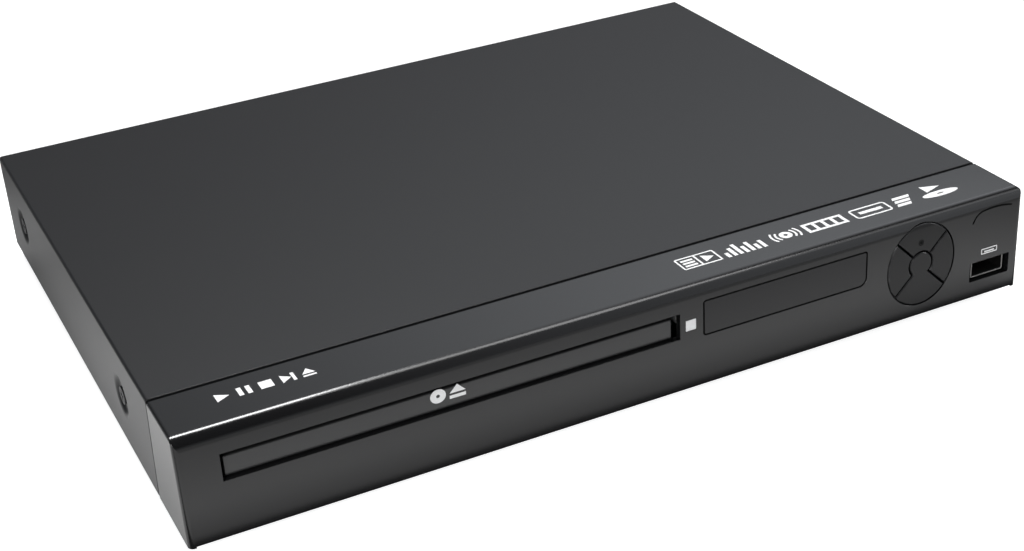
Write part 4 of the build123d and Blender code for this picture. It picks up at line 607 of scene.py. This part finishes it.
def bar_pair(left, low, right, high, lean=0.0):
    """Two edges of a bar, lower and upper, with the upper one moved sideways by the lean."""
    lower = np.array([[left, low], [right, low]])
    return (lower, lower + (lean, high - low), False)


def arc_pair(centre, inner, outer, start=0.0, end=360.0, squash=1.0, steps=48):
    """Two arcs about a centre, outer and inner: x = cx + r cos a, y = cy + squash * r sin a."""
    whole = abs(end - start) >= 360.0
    angles = np.radians(np.linspace(start, end, steps, endpoint=not whole))
    circle = np.stack([np.cos(angles), squash * np.sin(angles)], axis=1)
    return (np.array(centre) + outer * circle, np.array(centre) + inner * circle, whole)


def wedge_pair(left, low, wide, high, upward=False):
    """A triangle between two edges that meet at a blunt tip, pointing right or up."""
    tip = 0.03
    if upward:
        return (np.array([[left, low], [left + wide / 2 - tip, low + high]]),
                np.array([[left + wide, low], [left + wide / 2 + tip, low + high]]), False)
    return (np.array([[left, low], [left + wide, low + high / 2 - tip]]),
            np.array([[left, low + high], [left + wide, low + high / 2 + tip]]), False)


def frame_pair(left, low, wide, high, corners, line, steps=8):
    """Two rounded rectangles, the inner one smaller by the line's width all round.

    The corners' radii run anticlockwise from the upper right. Each corner is a quarter circle of
    that radius, turned by a right angle from one corner to the next.
    """
    def outline(inset):
        turns = np.radians(np.linspace(0, 90, steps))
        middle = np.array([left + wide / 2, low + high / 2])
        parts = []
        for quarter, (side, rise) in enumerate(((1, 1), (-1, 1), (-1, -1), (1, -1))):
            radius = max(corners[quarter] - inset, 0.05)
            corner = radius * np.stack([np.cos(turns), np.sin(turns)], axis=1)
            half = np.array([wide / 2 - inset - radius, high / 2 - inset - radius])
            angle = quarter * math.pi / 2
            cos, sin = math.cos(angle), math.sin(angle)
            spin = np.array([[cos, sin], [-sin, cos]])
            parts.append(middle + half * (side, rise) + corner @ spin)
        return np.concatenate(parts)
    return (outline(0.0), outline(line), True)


def ink_mesh(name, pairs, origin, plane, body, material):
    """Ruled strips between pairs of edges: P(s, t) = (1 - t) first(s) + t second(s).

    The edges are in millimetres along the two directions of the plane, from an origin in metres.
    """
    points, faces, count = [], [], 0
    metres = 0.001
    across, upward = np.array(plane, float)
    for first, second, whole in pairs:
        length = len(first)
        flat = np.concatenate([first, second])
        points.append(np.array(origin) + metres * (flat[:, :1] * across + flat[:, 1:] * upward))
        here = np.arange(length if whole else length - 1)
        after = (here + 1) % length
        quads = np.stack([here, after, after + length, here + length], axis=1)
        corner, along, _, beside = flat[quads[0]]
        (run_x, run_y), (side_x, side_y) = along - corner, beside - corner
        faces_out = run_x * side_y > run_y * side_x
        faces.append((quads if faces_out else quads[:, ::-1]) + count)
        count += 2 * length
    mesh = bpy.data.meshes.new(name)
    mesh.from_pydata(np.concatenate(points).tolist(), [], np.concatenate(faces).tolist())
    mesh.materials.append(material)
    piece = bpy.data.objects.new(name, mesh)
    bpy.context.scene.collection.objects.link(piece)
    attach(piece, body)


white_ink = finish_material("white ink", (0.94, 0.94, 0.94), 0.5, 0.0003, 0.2, edge=0.0001, rub_and_highlight=0.0,
                            cloud=0.1, cloud_size=0.002)

# Left end of the strip: play, pause, stop, next and open, each about 4 mm high
play_signs = [
    wedge_pair(0.4, 0.6, 4.0, 4.4),
    bar_pair(6.9, 0.6, 8.3, 5.0), bar_pair(9.5, 0.6, 10.9, 5.0),
    bar_pair(13.4, 0.8, 17.4, 4.8),
    wedge_pair(19.9, 0.6, 3.0, 4.4), bar_pair(23.1, 0.6, 24.1, 5.0),
    wedge_pair(26.0, 2.1, 4.0, 2.9, upward=True), bar_pair(26.0, 0.6, 30.0, 1.4),
]
play_x, play_y = -0.1278, front_face_y + 0.0127
ink_mesh("printed_play_signs", play_signs, (play_x, play_y, strip_z + ink_lift), on_strip, "case",
         white_ink)

# Right end of the strip: signs for list and play, level, sound, film, tray, stripes and disc, all
# measured from the middle of the player's front edge
strip_signs = [
    frame_pair(22.3, 10.6, 14.0, 7.4, [0.6] * 4, 0.6), bar_pair(28.9, 11.2, 29.5, 17.4),
    bar_pair(23.7, 15.4, 28.0, 16.4), bar_pair(23.7, 13.7, 28.0, 14.7), bar_pair(23.7, 12.0, 28.0, 13.0),
    wedge_pair(31.0, 12.1, 3.8, 4.4),
    frame_pair(87.0, 10.6, 14.2, 6.6, [1.4] * 4, 0.7), bar_pair(89.6, 13.1, 98.6, 14.7),
    bar_pair(102.9, 10.9, 108.3, 12.5, 0.8), bar_pair(103.4, 13.2, 109.4, 14.8, 0.8),
    bar_pair(103.9, 15.5, 110.6, 17.1, 0.8),
    arc_pair((120.7, 12.2), 1.4, 7.0, squash=0.26), wedge_pair(117.2, 14.6, 6.6, 4.6),
]
level_left, level_low, level_wide, level_pitch = 38.2, 10.6, 1.3, 2.2
for number, level in enumerate((3.0, 5.4, 7.0, 4.4, 6.2, 3.6, 5.0)):
    left = level_left + level_pitch * number
    strip_signs.append(bar_pair(left, level_low, left + level_wide, level_low + level))
sound_middle = (61.4, 14.0)
strip_signs.append(arc_pair(sound_middle, 0.7, 2.2))
for side in (0.0, 180.0):
    for inner, outer, spread in ((3.1, 3.8, 42.0), (4.7, 5.4, 34.0)):
        strip_signs.append(arc_pair(sound_middle, inner, outer, side - spread, side + spread, steps=16))
film_left, film_right, film_low, film_high, film_rail = 68.7, 83.9, 10.9, 17.0, 1.1
strip_signs += [
    bar_pair(film_left, film_low, film_right, film_low + film_rail),
    bar_pair(film_left, film_high - film_rail, film_right, film_high),
]
film_bar_wide, film_bar_pitch = 1.2, 3.5
for number in range(5):
    left = film_left + film_bar_pitch * number
    strip_signs.append(bar_pair(left, film_low + film_rail, left + film_bar_wide, film_high - film_rail))
ink_mesh("printed_strip_signs", strip_signs, (0, front_face_y, strip_z + ink_lift), on_strip, "case",
         white_ink)

# Over the port: its own outline in small, a frame with a bar in its lower half
port_sign = [frame_pair(0, 0, 6.6, 2.1, [0.4] * 4, 0.4), bar_pair(1.3, 0.6, 5.3, 1.15)]
port_sign_x, port_sign_z = 0.1291, body_low_z + 0.0157
ink_mesh("printed_port_sign", port_sign, (port_sign_x, front_face_y - ink_lift, port_sign_z), on_front,
         "case", white_ink)

# On the door: a disc beside a triangle over a bar, for opening the tray
door_sign = [
    arc_pair((2.6, 2.3), 0.6, 2.5, squash=0.92),
    wedge_pair(6.2, 2.0, 5.2, 2.6, upward=True), bar_pair(6.2, 0.2, 11.4, 1.3),
]
door_sign_x, door_sign_z = -0.0689, body_low_z + 0.0217
ink_mesh("printed_door_sign", door_sign,
         (door_sign_x, front_face_y + door_set_back - ink_lift, door_sign_z), on_front, "tray", white_ink)

# Round the window: a thin matt black line on its edge, wider in the lower right corner's curve, as painted
# shade in the gap of the window's seat
# The dark ink prints the key's sign, and also paints shade round the window and in the pad's line.
dark_ink_and_shade = finish_material("dark ink and painted shade", (0.003, 0.003, 0.003), 0.8, 0.0003, 0.2, edge=0.0001, rub_and_highlight=0.0,
                           gloss=0.1)
window_low, window_high = (np.array(corner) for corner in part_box("display_window"))
window_wide, _, window_tall = 1000 * (window_high - window_low)
window_gap_shade = [frame_pair(0, 0, window_wide, window_tall, [0.9, 0.9, 0.9, 2.8], 0.34)]
ink_mesh("painted_window_gap_shade", window_gap_shade, window_low - (0, ink_lift, 0), on_front, "case",
         dark_ink_and_shade)


def line_pair(points, wide):
    """Two edges of a drawn line: each point moved half its width to either side of the way it runs."""
    ways = np.gradient(points, axis=0)
    sides = np.stack([-ways[:, 1], ways[:, 0]], axis=1) / np.linalg.norm(ways, axis=1)[:, None]
    return (points - wide / 2 * sides, points + wide / 2 * sides, False)


def bend_points(start, way, end, steps=14):
    """Points of the circle that leaves a point in a direction and reaches another, and its last direction.

    Its radius is half the chord over the sine of the angle between the direction and the chord, its
    middle lies that far to the left of the start, and the line turns by twice that angle.
    """
    chord = np.array(end, float) - start
    first_angle = math.atan2(way[1], way[0])
    half_turn = math.atan2(chord[1], chord[0]) - first_angle
    radius = np.linalg.norm(chord) / 2 / math.sin(half_turn)
    angles = first_angle + np.linspace(0, 2 * half_turn, steps)
    cos, sin = np.cos(angles), np.sin(angles)
    middle = start + radius * np.array([-sin[0], cos[0]])
    return middle + radius * np.stack([sin, -cos], axis=1), (cos[-1], sin[-1])


# Over the port: matt black painted shade along the engraved line that rounds the top of the pad
pad_x = 0.13295
pad_line_wide = 0.6
pad_rise = np.array([[-8.1, 28.2], [-7.2, 29.8]])
pad_bend, bend_way = bend_points(pad_rise[1], pad_rise[1] - pad_rise[0], (-4.2, 31.9))
pad_top, _ = bend_points(pad_bend[-1], bend_way, (7.6, 31.4))
pad_shade_line = [line_pair(np.concatenate([pad_rise, pad_bend[1:], pad_top[1:]]), pad_line_wide)]
ink_mesh("painted_pad_line_shade", pad_shade_line, (pad_x, front_face_y - ink_lift, body_low_z), on_front, "case",
         dark_ink_and_shade)

# On the upper key: a dark dot in a ring
key_sign = [arc_pair((0, 0), 0.05, 0.55, steps=24), arc_pair((0, 0), 0.8, 1.05, steps=32)]
key_sign_x, key_sign_z = 0.1042, body_low_z + 0.0272
ink_mesh("printed_key_sign", key_sign, (key_sign_x, front_face_y - ink_lift, key_sign_z), on_front,
         "top_key", dark_ink_and_shade)

# Floor
# A wide pale table top, its colour painted lighter near the player as a pool of light, which also makes up
# for its shadow in front, and greyer further off.
# The camera sees it white; in the player's faces it mirrors with painted shade: a painted shadow along the
# front's foot, and darker towards the rear. From below it isn't seen.


def smooth_step(tree, start, end, first, last):
    """A smooth step of the value it is given: the first number up to the start, the last past the end."""
    return add_node(
        tree, "ShaderNodeMapRange", interpolation_type="SMOOTHSTEP",
        inputs={"From Min": start, "From Max": end, "To Min": first, "To Max": last},
    )


floor_half = 6.0
floor_mesh = bpy.data.meshes.new("floor")
floor_mesh.from_pydata(
    [(-floor_half, -floor_half, 0), (floor_half, -floor_half, 0), (floor_half, floor_half, 0),
     (-floor_half, floor_half, 0)], [], [(0, 1, 2, 3)]
)
floor = bpy.data.objects.new("floor", floor_mesh)
bpy.context.scene.collection.objects.link(floor)
floor_material, floor_tree, floor_shader = begin_material("pale floor")
floor_shader.inputs["Roughness"].default_value = 0.9
floor_shader.inputs["Specular IOR Level"].default_value = 0.0
floor_shader.inputs["Emission Color"].default_value = (1, 1, 1, 1)
# Its tone falls off with the distance from the player's own rectangle: a painted pool of light round it
player_half = (0.145, 0.114, 0.0)
floor_place = add_node(floor_tree, "ShaderNodeTexCoord")
floor_aside = add_node(floor_tree, "ShaderNodeVectorMath", operation="ABSOLUTE")
floor_past = add_node(floor_tree, "ShaderNodeVectorMath", operation="SUBTRACT", inputs={1: player_half})
floor_out = add_node(floor_tree, "ShaderNodeVectorMath", operation="MAXIMUM", inputs={1: (0, 0, 0)})
floor_far = add_node(floor_tree, "ShaderNodeVectorMath", operation="LENGTH")
floor_light_pool = smooth_step(floor_tree, 0.01, 0.09, 0.72, 0.3)
# Mirrored only, it carries painted shade: a painted shadow in a strip along the front's foot, and darker
# towards the rear
floor_split = add_node(floor_tree, "ShaderNodeSeparateXYZ")
foot_shadow_rise = smooth_step(floor_tree, -0.127, -0.1222, 0.0, 0.95)
foot_shadow_fall = smooth_step(floor_tree, -0.116, -0.1145, 1.0, 0.0)
floor_foot_shadow = add_node(floor_tree, "ShaderNodeMath", operation="MULTIPLY")
floor_rear_shade = smooth_step(floor_tree, -0.03, 0.11, 0.0, 0.52)
floor_shade = add_node(floor_tree, "ShaderNodeMath", operation="MAXIMUM")
floor_mirror_shade = add_node(floor_tree, "ShaderNodeMath", operation="MULTIPLY")
floor_kept = add_node(floor_tree, "ShaderNodeMath", operation="SUBTRACT", inputs={0: 1.0})
floor_shown = add_node(floor_tree, "ShaderNodeMath", operation="MULTIPLY")
# To the camera it glows white, a mirror sees part of its tone glow, and its underside is clear
camera_glow, mirror_glow = 0.8, 0.3
floor_seen = add_node(floor_tree, "ShaderNodeLightPath")
floor_mirrored = add_node(floor_tree, "ShaderNodeMath", operation="MAXIMUM")
floor_share = add_node(floor_tree, "ShaderNodeMath", operation="MULTIPLY", inputs={1: mirror_glow})
floor_dimmed = add_node(floor_tree, "ShaderNodeMath", operation="MULTIPLY")
floor_glow = add_node(floor_tree, "ShaderNodeMath", operation="MULTIPLY_ADD", inputs={1: camera_glow})
floor_face = add_node(floor_tree, "ShaderNodeNewGeometry")
floor_above = add_node(floor_tree, "ShaderNodeMath", operation="SUBTRACT", inputs={0: 1.0})
chain(
    floor_tree,
    (floor_place.outputs["Object"], floor_aside.inputs[0]),
    (floor_aside.outputs[0], floor_past.inputs[0]),
    (floor_past.outputs[0], floor_out.inputs[0]),
    (floor_out.outputs[0], floor_far.inputs[0]),
    (floor_far.outputs["Value"], floor_light_pool.inputs["Value"]),
    (floor_place.outputs["Object"], floor_split.inputs[0]),
    (floor_split.outputs["Y"], foot_shadow_rise.inputs["Value"]),
    (floor_split.outputs["Y"], foot_shadow_fall.inputs["Value"]),
    (floor_split.outputs["Y"], floor_rear_shade.inputs["Value"]),
    (foot_shadow_rise.outputs[0], floor_foot_shadow.inputs[0]),
    (foot_shadow_fall.outputs[0], floor_foot_shadow.inputs[1]),
    (floor_foot_shadow.outputs[0], floor_shade.inputs[0]),
    (floor_rear_shade.outputs[0], floor_shade.inputs[1]),
    (floor_shade.outputs[0], floor_mirror_shade.inputs[0]),
    (floor_seen.outputs["Is Glossy Ray"], floor_mirror_shade.inputs[1]),
    (floor_mirror_shade.outputs[0], floor_kept.inputs[1]),
    (floor_light_pool.outputs[0], floor_shown.inputs[0]),
    (floor_kept.outputs[0], floor_shown.inputs[1]),
    (floor_shown.outputs[0], floor_shader.inputs["Base Color"]),
    (floor_shown.outputs[0], floor_share.inputs[0]),
    (floor_seen.outputs["Is Glossy Ray"], floor_mirrored.inputs[0]),
    (floor_seen.outputs["Is Transmission Ray"], floor_mirrored.inputs[1]),
    (floor_mirrored.outputs[0], floor_dimmed.inputs[0]),
    (floor_share.outputs[0], floor_dimmed.inputs[1]),
    (floor_seen.outputs["Is Camera Ray"], floor_glow.inputs[0]),
    (floor_dimmed.outputs[0], floor_glow.inputs[2]),
    (floor_glow.outputs[0], floor_shader.inputs["Emission Strength"]),
    (floor_face.outputs["Backfacing"], floor_above.inputs[1]),
    (floor_above.outputs[0], floor_shader.inputs["Alpha"]),
)
floor_mesh.materials.append(floor_material)

# Studio
# Pale cool surroundings, lit high behind the player and most at the right, with a lit wall at
# the front right. Five soft boxes: over the brow, over the middle, at the right, low at the
# left and far off at the front right.
world = bpy.data.worlds.new("studio")
world.use_nodes = True
bpy.context.scene.world = world
world_tree = world.node_tree
world_back = next(node for node in world_tree.nodes if node.type == "BACKGROUND")
world_place = add_node(world_tree, "ShaderNodeTexCoord")
world_split = add_node(world_tree, "ShaderNodeSeparateXYZ")
# The high part by height, to the right and to the rear; a faint glow at the horizon; the wall
world_high = smooth_step(world_tree, 0.37, 0.47, 0.03, 0.52)
world_right = smooth_step(world_tree, 0.05, 0.75, 0.5, 2.9)
world_rear = smooth_step(world_tree, 0.1, 0.6, 0.02, 1.0)
world_low = smooth_step(world_tree, 0.0, 0.34, 0.28, 0.0)
world_wall = smooth_step(world_tree, 0.2, 0.6, 0.0, 0.75)
world_front = smooth_step(world_tree, 0.0, -0.2, 0.0, 1.0)
world_level = add_node(world_tree, "ShaderNodeMath", operation="MULTIPLY")
world_shape = add_node(world_tree, "ShaderNodeMath", operation="MULTIPLY")
world_side = add_node(world_tree, "ShaderNodeMath", operation="MULTIPLY")
world_sum = add_node(world_tree, "ShaderNodeMath", operation="MAXIMUM")
world_most = add_node(world_tree, "ShaderNodeMath", operation="MAXIMUM")
cool_tint = (0.955, 0.99, 1.04)
world_tint = add_node(world_tree, "ShaderNodeVectorMath", operation="SCALE", inputs={0: cool_tint})
chain(
    world_tree,
    (world_place.outputs["Generated"], world_split.inputs[0]),
    (world_split.outputs["Z"], world_high.inputs["Value"]),
    (world_split.outputs["X"], world_right.inputs["Value"]),
    (world_split.outputs["Y"], world_rear.inputs["Value"]),
    (world_split.outputs["Z"], world_low.inputs["Value"]),
    (world_split.outputs["X"], world_wall.inputs["Value"]),
    (world_split.outputs["Y"], world_front.inputs["Value"]),
    (world_high.outputs[0], world_level.inputs[0]),
    (world_right.outputs[0], world_level.inputs[1]),
    (world_level.outputs[0], world_shape.inputs[0]),
    (world_rear.outputs[0], world_shape.inputs[1]),
    (world_wall.outputs[0], world_side.inputs[0]),
    (world_front.outputs[0], world_side.inputs[1]),
    (world_shape.outputs[0], world_sum.inputs[0]),
    (world_low.outputs[0], world_sum.inputs[1]),
    (world_sum.outputs[0], world_most.inputs[0]),
    (world_side.outputs[0], world_most.inputs[1]),
    (world_most.outputs[0], world_tint.inputs["Scale"]),
    (world_tint.outputs[0], world_back.inputs["Color"]),
)


def soft_box(name, place, aim, wide, high, radiance, along=(1.0, 0.0, 0.0)):
    """A rectangular lamp that faces a point, with its wide side along a direction.

    Its power is its brightness times pi times its area.
    """
    lamp = bpy.data.lights.new(name, "AREA")
    lamp.shape = "RECTANGLE"
    lamp.size = wide
    lamp.size_y = high
    lamp.energy = radiance * math.pi * wide * high
    holder = bpy.data.objects.new(name, lamp)
    bpy.context.scene.collection.objects.link(holder)
    back = (Vector(place) - Vector(aim)).normalized()
    side = (Vector(along) - back * back.dot(Vector(along))).normalized()
    turned = Matrix((side, back.cross(side), back)).transposed().to_4x4()
    holder.matrix_world = Matrix.Translation(place) @ turned


soft_box("brow box", (0.04, 0.52, 1.27), (-0.1, -0.1, 0.03), 0.46, 0.38, 23.0)
soft_box("middle box", (0.44, 0.06, 1.3), (0.0, -0.1, 0.03), 0.8, 0.28, 4.5, along=(0.62, -0.78, 0.0))
soft_box("right box", (0.9, -0.3, 1.25), (0.0, -0.1, 0.0), 0.4, 0.4, 0.8)
soft_box("left box", (-0.8, -0.72, 0.42), (0.0, -0.1, 0.0), 0.5, 0.4, 9.5)
soft_box("front box", (1.7, -0.6, 0.9), (0.0, -0.1, 0.0), 0.8, 0.6, 7.0, along=(0.0, 1.0, 0.0))

# Camera
# Where the photographer stood: in front, to the left and well above the player, with a lens
# a little longer than normal, and the camera rolled a few degrees. Lens and film are in mm.
turn, rise, roll = math.radians(-24.33), math.radians(28.07), math.radians(-3.82)
camera_place = (-0.2252, -0.5224, 0.2997)
film_width, focal_length = 36.0, 62.555
towards = Vector((math.cos(rise) * math.sin(turn), -math.cos(rise) * math.cos(turn), math.sin(rise)))
right = (-towards).cross(Vector((0, 0, 1))).normalized()
up = right.cross(-towards)
across = math.cos(roll) * right + math.sin(roll) * up
upward = -math.sin(roll) * right + math.cos(roll) * up
lens = bpy.data.cameras.new("camera")
lens.sensor_width = film_width
lens.lens = focal_length
lens.clip_start = 0.01
camera = bpy.data.objects.new("camera", lens)
bpy.context.scene.collection.objects.link(camera)
camera.matrix_world = (
    Matrix.Translation(camera_place) @ Matrix((across, upward, towards)).transposed().to_4x4()
)
bpy.context.scene.camera = camera
